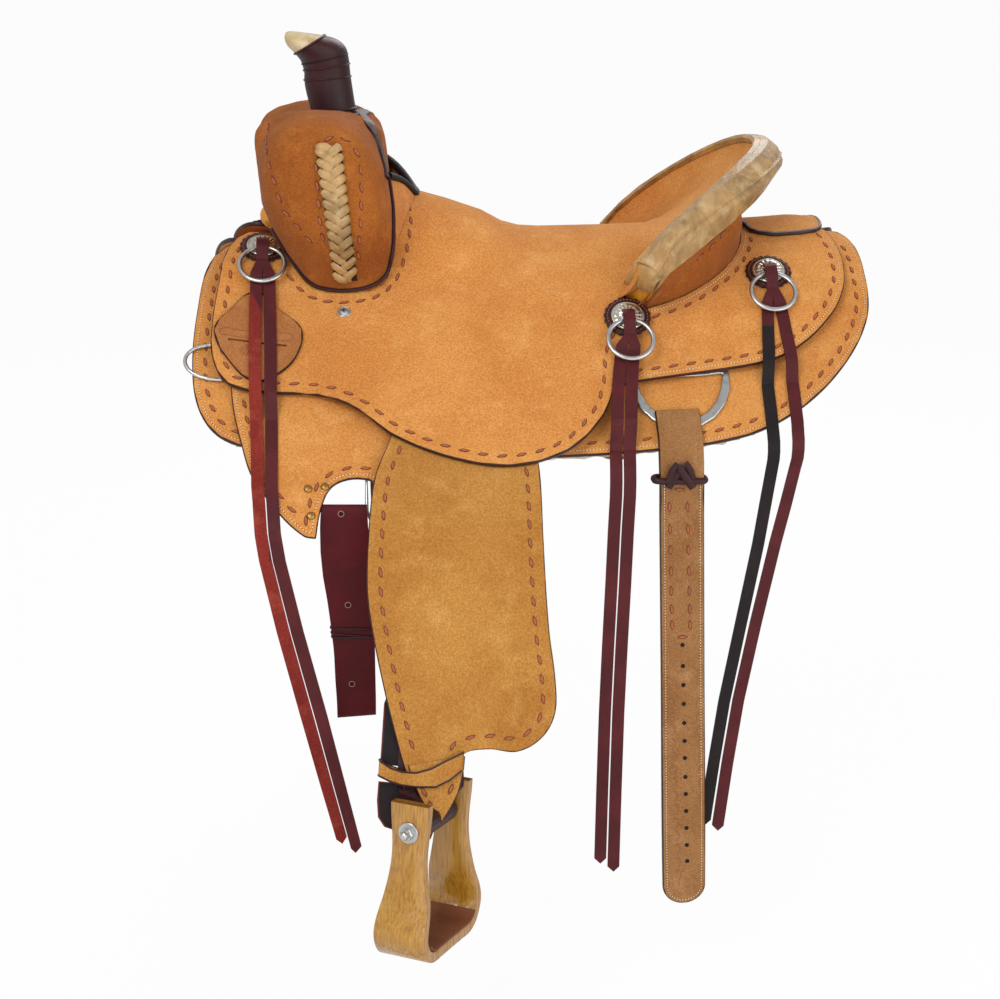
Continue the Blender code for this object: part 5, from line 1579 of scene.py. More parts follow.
@dataclass
class Horn:
    """The wrapped horn with its bare rawhide nose, and the strap down the fork's back.

    Each ring is two opposite pixels of the outline and a half-width in millimetres. A seam is
    its place among the rings, its radius and its material.
    """

    sight: Sight
    rings: tuple = ((311, 113, 357, 110, 22), (308, 102, 355, 99, 22), (305, 90, 353, 86, 22),
                    (303.5, 80, 351.5, 76, 22), (303.5, 73, 350.5, 67, 22.5), (302, 66.5, 349.5, 58, 24),
                    (300, 61, 346.5, 47, 26), (297.5, 57.5, 338, 39, 27), (294.5, 54, 325, 35, 27.5),
                    (290.5, 50, 309, 32.5, 26), (287, 46, 297, 31, 21), (285, 41.5, 289.5, 30.5, 14),
                    (284.2, 37.5, 286, 32, 7))
    seams: tuple = ((3.0, 0.0009, 0), (4.4, 0.0009, 0), (5.4, 0.0007, 1), (0.2, 0.0016, 0))
    wrap_end: int = 8
    strap_line: tuple = ((340, 109), (350, 110), (360, 114), (368, 123), (375, 135), (380, 150), (384, 166),
                         (386, 178))
    strap_half: float = 0.0056

    def ring(self, row: Sequence[float], grow: float = 0.0) -> list[Vector]:
        """One ring of the horn.

        Args:
            row: Two opposite pixels of its outline, and its half-width in millimetres.
            grow: Extra radius in metres.

        Returns:
            The ring's points.
        """
        zero, way = Vector((0, 0, 0)), Vector((0, 1, 0))
        a, b = (self.sight.on_plane(row[i], row[i + 1], zero, way) for i in (0, 2))
        mid, half = (a + b) / 2, (b - a) / 2
        half = half.normalized() * (half.length * 0.97 + grow)
        deep = Vector((0, row[4] / 1000 + grow, 0))
        return [mid + half * cos(t) + deep * sin(t) for t in turns(40)]

    @staticmethod
    def fine(rows: Sequence[tuple]) -> list[tuple]:
        """Rows with smooth steps put in between.

        Args:
            rows: The rows of numbers.

        Returns:
            Four rows for each step, and the last one.
        """
        line = []
        for i in range(len(rows) - 1):
            before, a, b, after = rows[max(i - 1, 0)], rows[i], rows[i + 1], rows[min(i + 2, len(rows) - 1)]
            for t in (0.0, 0.25, 0.5, 0.75):
                line.append(tuple(0.5 * (2 * q + (r - p) * t + (2 * p - 5 * q + 4 * r - u) * t * t
                                         + (3 * q - p - 3 * r + u) * t ** 3)
                                  for p, q, r, u in zip(before, a, b, after)))
        return line + [rows[-1]]

    def build(self) -> None:
        """Builds the wrap with its seams, the nose and the straps."""
        wrap = Maker()
        wrap.loft([self.ring(r) for r in self.fine(self.rings[:self.wrap_end + 1])])
        for place, radius, tag in self.seams:
            k = int(place)
            row = tuple(p + (q - p) * (place - k) for p, q in zip(self.rings[k], self.rings[k + 1]))
            wrap.tube(self.ring(row, radius * 0.4), radius, 8, closed=True, tag=tag)
        wrap.tube(self.ring(self.rings[self.wrap_end], 0.0004), 0.0013, 8, closed=True)
        made = wrap.make("horn_leather", "saddle", [DARK, BLACK], "dark_leather", angle=60)
        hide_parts("horn_wrap")
        nose = Maker()
        nose.loft([self.ring(r, -0.0004) for r in self.fine(self.rings[self.wrap_end - 1:])])
        made = nose.make("horn_nose", "saddle", [NOSE], "rawhide", angle=80)
        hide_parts("horn")
        for side in Side:
            self.strap(side)

    def strap(self, side: Side) -> None:
        """A dark strap from the horn's foot down the back of the fork.

        Args:
            side: The side.
        """
        spots = self.sight.line(Node("fork_cover"), self.strap_line)
        for _ in range(10):
            spots = [spots[0]] + [Spot((a.at + b.at * 2 + c.at) / 4, (a.out + b.out * 2 + c.out).normalized())
                                  for a, b, c in zip(spots, spots[1:], spots[2:])] + [spots[-1]]
        rings, section = [], ((-1, -0.001), (-0.95, 0.0024), (0, 0.0034), (0.95, 0.0024), (1, -0.001))
        for i, s in enumerate(spots):
            a, b = spots[max(i - 1, 0)], spots[min(i + 1, len(spots) - 1)]
            wide = s.out.cross((b.at - a.at).normalized()).normalized() * self.strap_half
            rings.append([side.place(s.at + wide * u + s.out * h) for u, h in section])
        maker = Maker()
        maker.loft(rings)
        maker.make("horn_strap_" + side.value, "saddle", [DARK], "dark_leather")


@dataclass
class Cantle:
    """Leather behind the cantle, and the binding's tapered ends, by pixels of the 1000 x 999 frame."""

    stitcher: Stitcher
    sight: Sight
    under: tuple = ((661, 289), (674, 278), (691, 263), (710, 245), (728, 228), (741, 213))
    lacing: tuple = ((694, 262), (706, 252), (718, 240), (728, 228))
    tip_top: tuple = (644, 256)
    tip_heel: tuple = (662, 279)
    tip_toe: tuple = (624, 283)
    tip_foot: tuple = (652, 293)

    def build(self) -> None:
        """Builds both sides."""
        facing = Vector((0.25, -0.85, 0.3)).normalized()
        upper = sorted(self.sight.line(Node("cantle_binding"), self.under), key=lambda s: s.at.x)
        upper = [Spot(s.at, facing) for s in upper]
        lower = JOCKEY_PANEL.spots(-0.001, lambda p: 0.046 < p.y < 0.150 and 0.085 < p.x < 0.238)
        lower = max(lower, key=len)
        lower = [Spot(s.at - s.out * 0.003, s.out) for s in sorted(lower, key=lambda s: s.at.x)]
        (top, heel, toe, foot), out = self.corners(), Vector((-0.25, -0.85, 0.4)).normalized()
        for side in Side:
            tag, back = side.value, Maker()
            bridge(back, upper, lower, side, 0.007, 0.004)
            made = back.make("cantle_skirt_" + tag, "saddle", [FORK_HIDE], "fork_leather", angle=60)
            if side is Side.NEAR:
                near = Node("cantle_skirt", made.data)
            row = self.sight.line(near, self.lacing)
            self.stitcher.lacing("lacing_cantle_" + tag, both([row], side), hide=False, pitch=0.0150)
            tip = Maker()
            start = [Spot(top.lerp(heel, t) + out * 0.0016, out) for t in (0.0, 0.5, 1.0)]
            end = [Spot(toe.lerp(foot, t) + out * 0.0030, out) for t in (0.0, 0.5, 1.0)]
            bridge(tip, start, end, side, 0.0085, 0.004)
            tip.make("binding_tip_" + tag, "saddle", [RAWHIDE], "rawhide", angle=60)

    def corners(self) -> tuple[Vector, Vector, Vector, Vector]:
        """The corners of the binding's tip.

        Returns:
            Its top, heel, toe and foot; a corner whose line of sight misses is put next to another.
        """
        binding, seat, way = Node("cantle_binding"), Node("seat"), Vector((0, 1, 0))
        top, heel = ((self.sight.line(binding, (px,), 1)
                      or [binding.near(self.sight.on_plane(*px, -0.15 * way, way))])[0].at
                     for px in (self.tip_top, self.tip_heel))
        toe = self.sight.line(seat, (self.tip_toe,), 1) or [seat.near(top + Vector((-0.014, 0.006, -0.024)))]
        return top, heel, toe[0].at, self.sight.on_plane(*self.tip_foot, heel + 0.004 * way, way)


def soften(node: bpy.types.Object, voxel: float, rounds: int) -> None:
    """Rounds a CAD node's facets with modifiers.

    Args:
        node: The node.
        voxel: The remeshing size.
        rounds: How often it is smoothed.
    """
    remesh = node.modifiers.new("remesh", "REMESH")
    remesh.mode, remesh.voxel_size, remesh.use_smooth_shade = "VOXEL", voxel, True
    relax = node.modifiers.new("relax", "SMOOTH")
    relax.factor, relax.iterations = 0.5, rounds


@dataclass
class Billets:
    """Edges, thread, lacing, holes and keeper of the rear billets."""

    stitcher: Stitcher
    sight: Sight
    width: float = 0.044
    drift: float = 0.022
    hole_rows: tuple = (645, 666, 685, 704, 723, 741, 758, 777, 794, 811, 828, 845, 861)
    hole_x: float = 682.5
    lace_rows: tuple = (507, 529, 550, 571, 591, 609, 625)
    lace_x: tuple = (669.5, 687.5)
    lace_across: tuple = ((679.5, 489.5), (682.5, 637))
    stamp_row: float = 704.0
    stamp_pitch: float = 13.2
    keeper_row: float = 480.5
    near_body: str = "rear_billet_left_body"

    def __post_init__(self) -> None:
        """Finds the near billet."""
        self.node = Node("rear_billet_left")

    def panel(self, length: float, doubled: bool) -> Panel:
        """The billet's pattern.

        Args:
            length: Its length without the tip.
            doubled: Whether it is folded up.

        Returns:
            The panel.
        """
        x0, s0, half, lean = 144.0, 254.0, self.width * 500, 0.021
        run = length * 1000
        tip = half * (0.3 if doubled else 0.9)
        line = [(x0 - half, s0, 1), (x0 + lean * run * 0.5 - half, s0 + run * 0.5),
                (x0 + lean * run - half, s0 + run)]
        line += [(x0 + lean * run + half * cos(a), s0 + run + tip * sin(a))
                 for a in (pi * k / 6 for k in range(5, 0, -1))]
        line += [(x + self.width * 1000, *rest) for x, *rest in reversed(line[:3])]

        def top(x: float, s: float) -> float:
            """Height of the billet's face."""
            low = eased(max(s, 0.282), (0.282, 0.0219), (0.335, 0.009))
            return low + eased(max(s, 0.290), (0.290, 0.004), (0.330, 0.0128 if doubled else 0.008))
        return Panel("rear_billet", line, top, 0.008, body=self.near_body, bends=hang(0.285, 0.310))

    def build(self) -> None:
        """Builds both sides; the holes and the keeper are on the near one."""
        for side, length, doubled in ((Side.NEAR, 0.508, False), (Side.OFF, 0.165, True)):
            panel, body = self.panel(length, doubled), side.body("rear_billet")
            panel.bead(side, proud=0.0012)
            self.stitcher.thread("thread_billet_" + side.value,
                                 both(panel.spots(0.0036, lambda p: p.y > 0.29), side), body,
                                 hide=False, pitch=0.0031)
            if side is Side.NEAR:
                for add in (self.holes, self.lacing, self.stamping, self.keeper):
                    add()

    def holes(self) -> None:
        """Punched holes down the middle, each a dark dome of painted shade."""
        maker, first = Maker(), self.hole_rows[0]
        pixels = [(self.hole_x + (row - first) * self.drift, row) for row in self.hole_rows]
        for spot in self.sight.line(self.node, pixels, 1):
            maker.dome(spot.at, Vector((1, 0, 0)), spot.out,
                       [(0.0026, -0.0002), (0.0022, 0.0002), (0.0018, 0.0001)], 14)
        maker.make("billet_holes", self.near_body, [HOLE_SHADE], "dark_leather")

    def lacing(self) -> None:
        """Two rows of lacing, and a stitch across above and below them."""
        lace, first = Maker(), self.lace_rows[0]
        for x in self.lace_x:
            pixels = [(x + (row - first) * self.drift, row) for row in self.lace_rows]
            for spot in self.sight.line(self.node, pixels, 1):
                down = Vector((0.05, 0, -1))
                down = (down - spot.out * down.dot(spot.out)).normalized()
                self.stitcher.lozenge(lace, spot.at, down, spot.out)
        for spot in self.sight.line(self.node, self.lace_across, 1):
            self.stitcher.lozenge(lace, spot.at, Vector((1, 0, 0)), spot.out)
        lace.make("billet_lacing", self.near_body, [LACE, LACE_FACE], "latigo_leather")

    def stamping(self) -> None:
        """Rows of small half-rounds pressed along both edges."""
        stamp = Maker()
        for k in range(14):
            down = self.stamp_pitch * k
            for x, hand in ((669.5 + k * 0.3, 1), (700.5 + k * 0.25, -1)):
                for spot in self.sight.line(self.node, [(x + 0.02 * down, self.stamp_row + down)], 1):
                    arc = [spot.at + Vector((hand * 0.0048 * sin(a), 0, 0.0058 * cos(a)))
                           + spot.out * 0.0001 for a in (pi * i / 8 for i in range(9))]
                    stamp.tube(arc, 0.00035, 5)
        stamp.make("billet_stamping", self.near_body, [STAMP], "tan_leather")

    def keeper(self) -> None:
        """The dark lace loop round the billet with its crossed knot."""
        face, maker = self.sight.line(self.node, [(680, 480)], 1)[0], Maker()
        left, right = (self.sight.on_plane(x, self.keeper_row, face.at, Vector((0, 1, 0)))
                       for x in (654.5, 705.5))
        out, mid, across = face.out, (left + right) / 2, (right - left) / 2
        ring = [mid + across * squared(cos(t), 0.35)
                + out * (-0.0035 + 0.0060 * squared(sin(t), 0.5)) for t in turns(28)]
        maker.tube(ring, 0.0034, 10, closed=True)
        knot = ((-0.0125, -0.006), (-0.008, 0.001), (-0.003, 0.008), (0.002, 0.015), (0.005, 0.019),
                (0.009, 0.012), (0.0125, 0.0))
        for lean, lift in ((1, 0.0030), (-1, 0.0052)):
            path = [mid + Vector((lean * x, 0, z)) + out * (lift + 0.0018 * sin(pi * k / 6))
                    for k, (x, z) in enumerate(knot)]
            maker.tube(path, 0.0040, 8, out=out, flat=0.45)
        maker.make("billet_keeper", self.near_body, [DARK], "latigo_leather")


@dataclass
class Latigo:
    """The folded latigo with its holes and ties, and the off billet's edges.

    Its rows are a picture row and the front and rear edge's pixels there.
    """

    sight: Sight
    rows: tuple = ((507, 321, 367), (525, 320, 368), (550, 320.5, 370), (575, 323, 371.5), (600, 327.5, 373),
                   (625, 331, 374), (650, 334, 375), (680, 335.5, 375.5), (700, 337, 376), (716, 337.5, 376))
    plane: float = 0.2875
    half_thick: float = 0.0019
    depth: float = 0.0029
    metres_a_row: float = 0.00104
    hole_places: tuple = ((341, 514), (348, 605), (352, 684))
    body: str = "latigo_left_body"

    def across(self, row: float) -> tuple[Vector, Vector]:
        """The strap's edges at a row of the picture.

        Args:
            row: The row.

        Returns:
            The places of the front and rear edge.
        """
        for (r0, a0, b0), (r1, a1, b1) in zip(self.rows, self.rows[1:]):
            if row <= r1:
                break
        t = (row - r0) / (r1 - r0)
        plane, way = Vector((0, -self.plane, 0)), Vector((0, 1, 0))
        return (self.sight.on_plane(a0 + (a1 - a0) * t, row, plane, way),
                self.sight.on_plane(b0 + (b1 - b0) * t, row - 3 * (row - 507) / 209, plane, way))

    def build(self) -> None:
        """Builds the strap, its holes and ties, and the off side's edges."""
        strap = self.strap()
        self.holes(Node("latigo_strap", strap.data))
        self.ties()
        self.off_edges()

    def strap(self) -> bpy.types.Object:
        """The strap, down in front, round the bottom and up behind.

        Returns:
            The object.
        """
        d, strap = self.depth, Maker()
        bottom = [(-0.0022, 714.5), (0.0, 716.0), (0.0022, 714.5)]
        top = [(0.0022, 507.6), (0.0, 506.2), (-0.0022, 507.6)]
        track = [(-d, r) for r in range(511, 713, 8)] + bottom + [(d, r) for r in range(711, 510, -8)] + top
        rings = []
        for k, (depth, row) in enumerate(track):
            a, b = self.across(row)
            (d0, r0), (d1, r1) = track[k - 1], track[(k + 1) % len(track)]
            along = Vector((0, d1 - d0, -(r1 - r0) * self.metres_a_row)).normalized()
            out = Vector((0, along.z, -along.y)) * self.half_thick
            deep = Vector((0, depth, 0))
            rings.append([a + deep + out, a + deep - out, b + deep - out, b + deep + out])
        strap.verts += [p for ring in rings for p in ring]
        for i in range(len(rings)):
            for j in range(4):
                k, m = (i + 1) % len(rings), (j + 1) % 4
                strap.faces.append(((4 * i + j, 4 * i + m, 4 * k + m, 4 * k + j), 1 if j in (0, 2) else 0))
        made = strap.make("latigo_strap", self.body, [BURGUNDY, CUT_EDGE], "latigo_leather", angle=50)
        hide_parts("latigo_left")
        return made

    def holes(self, node: Node) -> None:
        """Three punched holes with raised rims, and inside each rim a dark disc of painted shade.

        Args:
            node: The strap.
        """
        maker = Maker()
        for spot in self.sight.line(node, self.hole_places, 1):
            maker.dome(spot.at, Vector((1, 0, 0)), spot.out,
                       [(0.0034, -0.0002), (0.0031, 0.0003), (0.0026, 0.0002)], 16)
            # The hole's middle is a dark disc: painted shade.
            maker.dome(spot.at, Vector((1, 0, 0)), spot.out, [(0.0026, 0.0001), (0.0024, 0.00025)], 16, 1)
        maker.make("latigo_holes", self.body, [CUT_EDGE, HOLE_SHADE], "dark_leather")

    def ties(self) -> None:
        """Thin ties round the folded strap."""
        ties = Maker()
        for row, slant in ((627, 2), (636, 1), (632, 5)):
            a, b = self.across(row)[0], self.across(row + slant)[1]
            mid, wide = (a + b) / 2, (b - a) / 2
            ring = [mid + wide * squared(cos(t), 0.35) * 1.02
                    + Vector((0, 0.0056 * squared(sin(t), 0.4), 0)) for t in turns(28)]
            ties.tube(ring, 0.0011, 8, closed=True)
        ties.make("latigo_ties", self.body, [DARK], "dark_leather")

    def off_edges(self) -> None:
        """The burnished edges of the off billet, by its outline in millimetres from its top."""
        edge = Maker()
        outline = ((-172, 0), (-128, 0), (-124, -250), (-134, -268), (-158, -268), (-168, -250))
        for depth in (0.0049, 0.0012, -0.0049):
            edge.tube([Vector((x / 1000, self.plane + depth, -0.205 + z / 1000)) for x, z in outline], 0.0010,
                      6, closed=True)
        edge.make("edges_off_billet", "off_billet_right_body", [EDGE], "dark_leather")


@dataclass
class Stirrup:
    """Laminated oak bow, tread leather and bolt, with the leathers, fender's tail and hobble strap above it.

    The outlines are pixels of the 1000 x 999 frame; each of the leathers has its depth too.
    """

    stitcher: Stitcher
    sight: Sight
    leathers: tuple = (
        (((389, 690), (385, 704), (383, 735), (381, 764), (404, 766), (400, 735), (395, 706)), 0.0075),
        (((379, 782), (378, 800), (379, 817), (385, 826), (393, 829), (401, 815), (403, 784)), 0.0060),
        (((403, 784), (408, 801), (413, 820), (415, 837), (421, 843), (430, 838), (434, 827), (426, 806),
          (417, 785)), 0.0035))
    tail_line: tuple = ((409, 765), (413, 779), (420, 795), (427, 808), (433, 819), (434, 829), (438, 826),
                        (445, 815), (452, 803), (457, 793), (460, 782), (463, 768), (464, 756))
    tail_lacing: tuple = ((424, 792, 5, 9), (431, 806, 3, 9), (437, 817, -4, 8), (451, 789, -4, 9))
    hobble_top: tuple = ((380, 761), (390, 768), (402, 772), (416, 773), (431, 769), (446, 761), (463, 753))
    hobble_foot: tuple = ((379, 776), (389, 781), (401, 785), (416, 787), (436, 787), (450, 780), (461, 771))
    hobble_deep: float = 0.0150
    hobble_thick: float = 0.0026
    layers: int = 5
    thick: float = 0.011
    drop: float = 0.124
    leg: float = 0.045

    def __post_init__(self) -> None:
        """Works out the bolt's place and directions, and the plane of the fender's foot."""
        turn, lean, slope = radians(62), radians(6), radians(74)
        level = cos(lean)
        self.bolt = Vector((-cos(turn) * level, -sin(turn) * level, sin(lean)))
        self.tread = Vector((sin(turn), -cos(turn), 0))
        self.rise = self.bolt.cross(self.tread)
        self.centre = lay(-0.118, 0.652, 0.0226)
        self.normal = Vector((0.0, -sin(slope), cos(slope)))
        self.face = lay(-0.110, 0.600, H_FENDER_TOP + 0.0004)

    def on_face(self, pixels: Iterable[tuple[float, float]], lift: float) -> list[Vector]:
        """Places seen at pixels on the plane of the fender's foot, moved out by a lift."""
        return [self.sight.on_plane(x, y, self.face + self.normal * lift, self.normal) for x, y in pixels]

    def path(self) -> list[Vector]:
        """The bow's centreline from leg to leg.

        Returns:
            Its points, across and up from the bolt.
        """
        drop = self.drop * 1000
        keys = [(45, 28), (45, 0), (47, -30), (50.76, -0.55 * drop), (61, -0.80 * drop), (55, -0.935 * drop),
                (42, -drop), (24, -drop - 0.5), (0, -drop - 0.5)]
        half = curve_through(keys, False, 6)
        return half + [Vector((-p.x, p.y)) for p in reversed(half[:-1])]

    @staticmethod
    def half_width(p: Vector) -> float:
        """Half the wood's width at a place of the path.

        Args:
            p: The place.

        Returns:
            The half width.
        """
        keys = [(-0.028, 0.040), (0.022, 0.034), (0.0992, 0.054), (1.0, 0.054)]
        for (a, u), (b, v) in zip(keys, keys[1:]):
            if -p.y <= b:
                return (u + (v - u) * smooth((-p.y - a) / (b - a))) / 2
        return keys[-1][1] / 2

    def bar(self, maker: Maker, line: Sequence[Vector], low: float, high: float, side: Side, tag: int,
            wide: float = 1.0, soft: float = 0.0) -> None:
        """Adds one layer swept along the path.

        Args:
            maker: Collects it.
            line: The path.
            low: Its inner face's distance from the path.
            high: Its outer face's distance.
            side: The side.
            tag: Its material.
            wide: Its share of the wood's width.
            soft: How much its edges are rounded.
        """
        rings, round_off = [], soft * 0.02
        section = ((low, -1 + soft), (low + round_off, -1), (high - round_off, -1), (high, -1 + soft),
                   (high, 1 - soft), (high - round_off, 1), (low + round_off, 1), (low, 1 - soft))
        for i, p in enumerate(line):
            along = (line[min(i + 1, len(line) - 1)] - line[max(i - 1, 0)]).normalized()
            normal, w, ring = Vector((-along.y, along.x)), self.half_width(p) * wide, []
            for d, q in section:
                flat = p + normal * d
                ring.append(side.place(self.centre + self.bolt * flat.x + self.rise * flat.y
                                       + self.tread * (q * w)))
            rings.append(ring)
        maker.loft(rings, tag)

    def build(self) -> None:
        """Builds both stirrups."""
        line, half, step, glue = self.path(), self.thick / 2, self.thick / self.layers, 0.00012
        for side in Side:
            body, tag, wood = side.body("stirrup"), side.value, Maker()
            for k in range(self.layers):
                low, outer = -half + k * step, k in (0, self.layers - 1)
                self.bar(wood, line, low + glue, low + step - glue, side, 0, 0.995 if outer else 1.0,
                         0.03 if outer else 0.01)
            self.bar(wood, line, -half + 0.0008, half - 0.0008, side, 1, 0.990, 0.0)
            made = wood.make("stirrup_wood_" + tag, body, [OAK, OAK_DARK], "varnished_oak", angle=50)
            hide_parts("stirrup_" + tag)
            tread, base = Maker(), [p for p in line if p.y < -0.90 * self.drop]
            self.bar(tread, base, -half - 0.0035, -half - 0.0003, side, 0, 1.03, 0.05)
            made = tread.make("stirrup_tread_leather_" + tag, body, [TREAD], "tread_leather")
            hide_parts("stirrup_tread_" + tag)
            self.bolts(side)
            self.leather_ends(side)
            self.tail(side)
            self.hobble(side)

    def bolts(self, side: Side) -> None:
        """Washers, nuts and the bolt's ends on both legs.

        Args:
            side: The side.
        """
        maker = Maker()
        at, way, across = (side.place(v) for v in (self.centre, self.bolt, self.tread))
        for hand in (1, -1):
            foot = at + way * hand * (self.leg + self.thick / 2 + 0.0003)
            for sides, rings in ((28, [(0.0105, 0.0), (0.0105, 0.0012), (0.0098, 0.0018), (0.0055, 0.0018)]),
                                 (6, [(0.0070, 0.0017), (0.0070, 0.0058), (0.0062, 0.0068)]),
                                 (16, [(0.0042, 0.006), (0.0042, 0.01), (0.0036, 0.0116), (0.0020, 0.0126)])):
                maker.dome(foot, across, way * hand, rings, sides)
        maker.tube([at - way * 0.0515, at + way * 0.0515], 0.0044, 16)
        made = maker.make("stirrup_hardware_" + side.value, side.body("fender"), [STEEL],
                          "stainless_steel", angle=30)
        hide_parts("stirrup_bolt_" + side.value)

    def leather_ends(self, side: Side) -> None:
        """The ends of the dark leathers that go round the bolt.

        Args:
            side: The side.
        """
        leathers, normal = Maker(), self.normal
        for outline, shift in self.leathers:
            spots = self.on_face(outline, -shift)
            leathers.loft([[side.place(p + normal * h) for p in spots] for h in (-0.0045, 0.0010)])
            leathers.tube([side.place(p + normal * 0.0004) for p in spots], 0.0011, 6, True, 1)
        leathers.make("leather_ends_" + side.value, side.body("fender"), [BLACK, LACE],
                      "latigo_leather")

    def tail(self, side: Side) -> None:
        """The fender's tail below the hobble strap, with its lacing and its edge.

        Args:
            side: The side.
        """
        tag, body, normal = side.value, side.body("fender"), self.normal
        points = [p + normal * 0.0020 for p in self.on_face(self.tail_line, -0.0012)]
        lace = Maker()
        for x, y, dx, dy in self.tail_lacing:
            at, to = self.on_face(((x, y), (x + dx, y + dy)), 0.0026)
            along = (to - at).normalized()
            self.stitcher.lozenge(lace, side.place(at), side.place(along), side.place(normal))
        lace.make("tail_lacing_" + tag, body, [LACE, LACE_FACE], "latigo_leather")
        tail, edge = Maker(), Maker()
        tail.loft([[side.place(p + normal * h) for p in points] for h in (-0.0018, 0.0012)])
        tail.make("fender_tail_" + tag, body, [FENDER_HIDE], "roughout_leather")
        edge.tube([side.place(p - normal * 0.0003) for p in points], 0.0012, 6)
        edge.make("fender_tail_edge_" + tag, body, [EDGE], "dark_leather")

    def hobble(self, side: Side) -> None:
        """The hobble strap, dipping round the leathers, and its edges.

        Args:
            side: The side.
        """
        tag, body, normal = side.value, side.body("fender"), self.normal
        top, low = (self.on_face(row, 0.0045) for row in (self.hobble_top, self.hobble_foot))
        back, middle, thick = -self.hobble_deep, -self.hobble_deep / 2, self.hobble_thick
        loop = [(a, b, 0.0) for a, b in zip(top, low)] + [(top[-1], low[-1], middle)]
        loop += [(a, b, back) for a, b in zip(reversed(top), reversed(low))] + [(top[0], low[0], middle)]
        centre = sum((a + b for a, b, _ in loop), Vector()) / (2 * len(loop)) + normal * middle
        rings = []
        for a, b, depth in loop:
            swell = 1.02 if depth == middle else 1.0
            a, b = (centre + (p + normal * depth - centre) * swell for p in (a, b))
            inward = {0.0: normal * -thick, back: normal * thick}.get(depth)
            if inward is None:
                inward = (centre - (a + b) / 2).normalized() * thick
            rings.append([side.place(q) for q in (a, a + inward, b + inward, b)])
        strap, rim = Maker(), Maker()
        strap.loft(rings, closed=True)
        made = strap.make("hobble_" + tag, body, [FENDER_HIDE], "tan_leather")
        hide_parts("hobble_strap_" + tag)
        for row in (0, 3):
            rim.tube([r[row] for r in rings], 0.0010, 6, closed=True)
        rim.make("hobble_edge_" + tag, body, [EDGE], "dark_leather")


@dataclass
class Leaf:
    """Border lines, slit ends and tooled strokes of the keeper leaf, and its edge."""

    sight: Sight
    thick: float = 0.0035
    slits: tuple = (((225, 327), (240, 330), (262, 332), (288, 333)),
                    ((224, 334), (240, 337), (262, 340), (288, 341)),
                    ((225, 327), (220, 330), (221, 334), (226, 335)),
                    ((288, 333), (293, 336), (292, 340), (287, 341)))

    def top(self, x: float, s: float) -> float:
        """Height of the leaf's face."""
        return seat_top(x, s) + GAP + self.thick

    def build(self) -> None:
        """Builds it on the near side."""
        node, maker = Node("keeper_leaf_left"), Maker()
        Panel("keeper_leaf", LEAF, self.top, self.thick).bead(Side.NEAR, proud=0.0009)
        strokes = [(line, 6, 0.00045) for line in self.slits]
        for a in (radians(90 + 11 * k) for k in range(-6, 7)):
            near = (256 - 9 * cos(a), 343 + 3 * sin(a))
            far = (256 - 19 * cos(a), 345 + 13 * sin(a))
            strokes.append(((near, far), 4, 0.0004))
        for line, per, radius in strokes:
            spots = self.sight.line(node, line, per)
            if len(spots) > 2:
                maker.tube([s.at for s in spots], radius, 5)
        maker.make("keeper_tooling", "saddle", [TOOLED], "tan_leather")


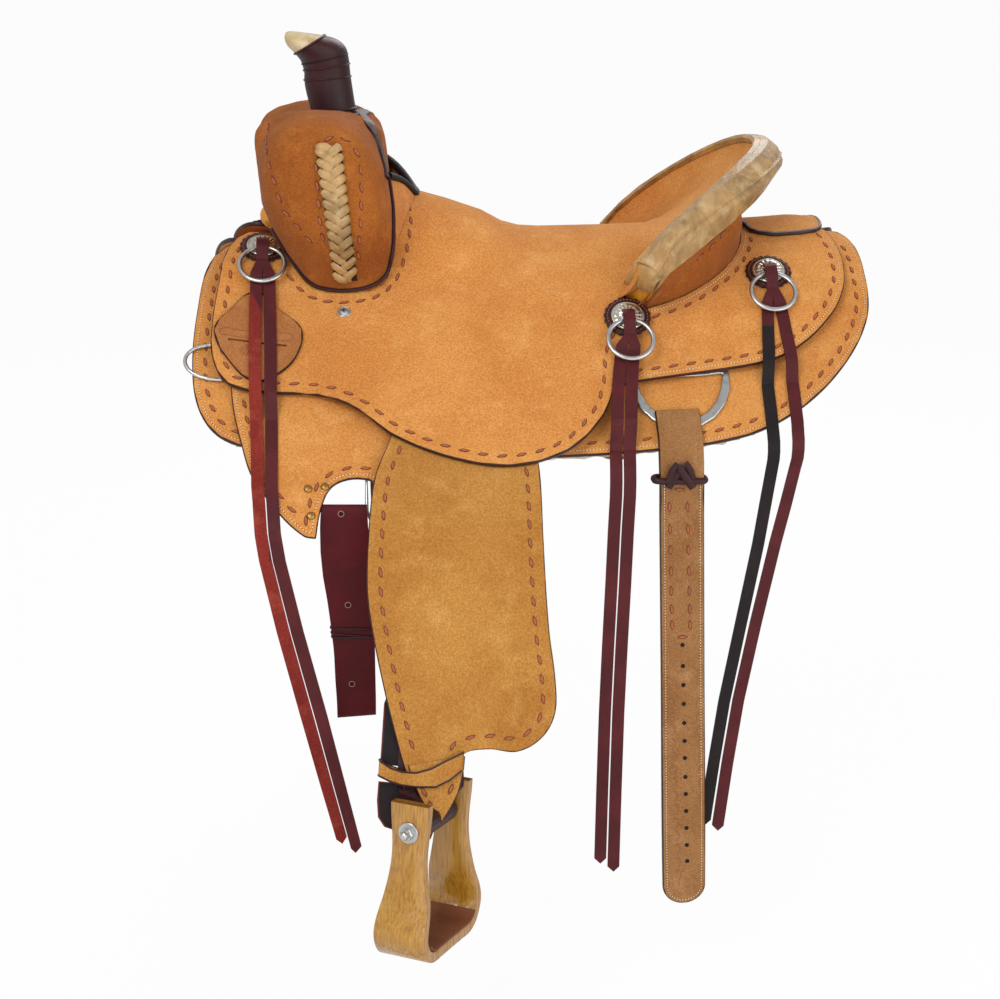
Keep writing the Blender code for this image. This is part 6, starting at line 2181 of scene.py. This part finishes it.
@dataclass
class Rear:
    """The lap leather behind the cantle, and the fleece under the skirts."""

    stitcher: Stitcher
    lap_x: float = 0.290
    lap_half: float = 0.040
    lap_thick: float = 0.0038
    wool_voxel: float = 0.0045
    curl: float = 0.011

    def build(self) -> None:
        """Builds both."""
        self.lap()
        for side in Side:
            self.fleece(side)

    @staticmethod
    def over(x: float, s: float, lift: float) -> Vector:
        """A place above the jockeys; the mid-plane itself counts as near side."""
        return lay(x, s if abs(s) > 1e-6 else 1e-6, jockey_top(x, s) + lift)

    def lap(self) -> None:
        """A short leather stitched over the seam between the two rear jockeys."""
        rows, line = [], []
        for k in range(17):
            s = self.lap_half * (k / 8 - 1)
            half = self.lap_half * max(1 - abs(s / 0.0405) ** 5, 0.0) ** 0.4 + 0.001
            row = [self.over(self.lap_x + half * (j / 4 - 1), s, 0.0006) for j in range(9)]
            up = Vector((0, -s * 4, 1)).normalized()
            rows.append([p + up * self.lap_thick for p in row] + row[::-1])
            line.append((s, half))
        leather, edge = Maker(), Maker()
        leather.loft(rows)
        leather.make("rear_lap", "saddle", [ROUGHOUT], "roughout_leather")
        rim = [(self.lap_x + h, s) for s, h in line] + [(self.lap_x - h, s) for s, h in reversed(line)]
        edge.tube([self.over(x, s, 0.0025) for x, s in rim], 0.0025, 6, True)
        edge.make("rear_lap_edge", "saddle", [EDGE], "dark_leather")
        spots = [Spot(self.over(self.lap_x + h - 0.0075, s, 0.0044), Vector((0, -s * 8, 1)).normalized())
                 for s, h in line[2:-2]]
        self.stitcher.thread("rear_lap_thread", [spots], hide=False)

    def fleece(self, side: Side) -> None:
        """Curled wool in place of the plain pad.

        Args:
            side: The side.
        """
        mesh = frame["nodes"]["fleece_" + side.value].data.copy()
        obj = bpy.data.objects.new("shearling_" + side.value, mesh)
        bpy.context.scene.collection.objects.link(obj)
        mesh.materials.clear()
        mesh.materials.append(WOOL.material())
        remesh = obj.modifiers.new("remesh", "REMESH")
        remesh.mode, remesh.voxel_size, remesh.use_smooth_shade = "VOXEL", self.wool_voxel, True
        curls = bpy.data.textures.new("curls_" + side.value, "VORONOI")
        curls.noise_scale = self.curl
        lumps = obj.modifiers.new("curls", "DISPLACE")
        lumps.texture, lumps.strength, lumps.mid_level = curls, -0.0030, 0.35
        lumps.texture_coords = "LOCAL"
        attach(obj, "saddle")
        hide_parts("fleece_" + side.value)


@dataclass
class Rivets:
    """Domed rivets of the front rigging, by pixels of the 1000 x 999 frame."""

    sight: Sight
    places: tuple = ((308, 489), (311, 516), (325, 487))

    def build(self) -> None:
        """Builds both sides."""
        spots = self.sight.line(Node("rigging_left"), self.places, 1)
        for side in Side:
            maker = Maker()
            for spot in (s.on(side) for s in spots):
                maker.dome(spot.at, Vector((1, 0, 0)), spot.out,
                           [(0.0044, 0.0), (0.0042, 0.0009), (0.0034, 0.0018), (0.0018, 0.0024)], 20)
            maker.make("rivets_" + side.value, "saddle", [BRASS], "nickel_silver")


def rounded() -> None:
    """Rounds the facets of the CAD nodes that stay in sight, each with its voxel size and rounds."""
    sizes = {"fork_cover": (0.0017, 24), "rear_dee": (0.0011, 8), "rigging_dee": (0.0011, 8),
             "breast_dee": (0.0011, 8)}
    for name, node in frame["nodes"].items():
        for key, (voxel, rounds) in sizes.items():
            if name.startswith(key):
                soften(node, voxel, rounds)


def main() -> None:
    """Builds the sub-assemblies in order and reports each."""
    studio = Studio()
    studio.build()
    LOG.info("studio: camera, lamps and floor")
    painted()
    rounded()
    LOG.info("finishes on the CAD nodes")
    stitcher, sight = Stitcher(Covers()), Sight(studio)
    parts = (Panels(stitcher), Ornaments(), Fork(stitcher, sight), Horn(sight), Cantle(stitcher, sight),
             Billets(stitcher, sight), Latigo(sight), Stirrup(stitcher, sight), Leaf(sight), Rear(stitcher),
             Rivets(sight))
    for part in parts:
        part.build()
        LOG.info("%s built", type(part).__name__.lower())


if __name__ == "__main__":
    logging.basicConfig(level=logging.INFO, format="%(name)s: %(message)s")
    main()
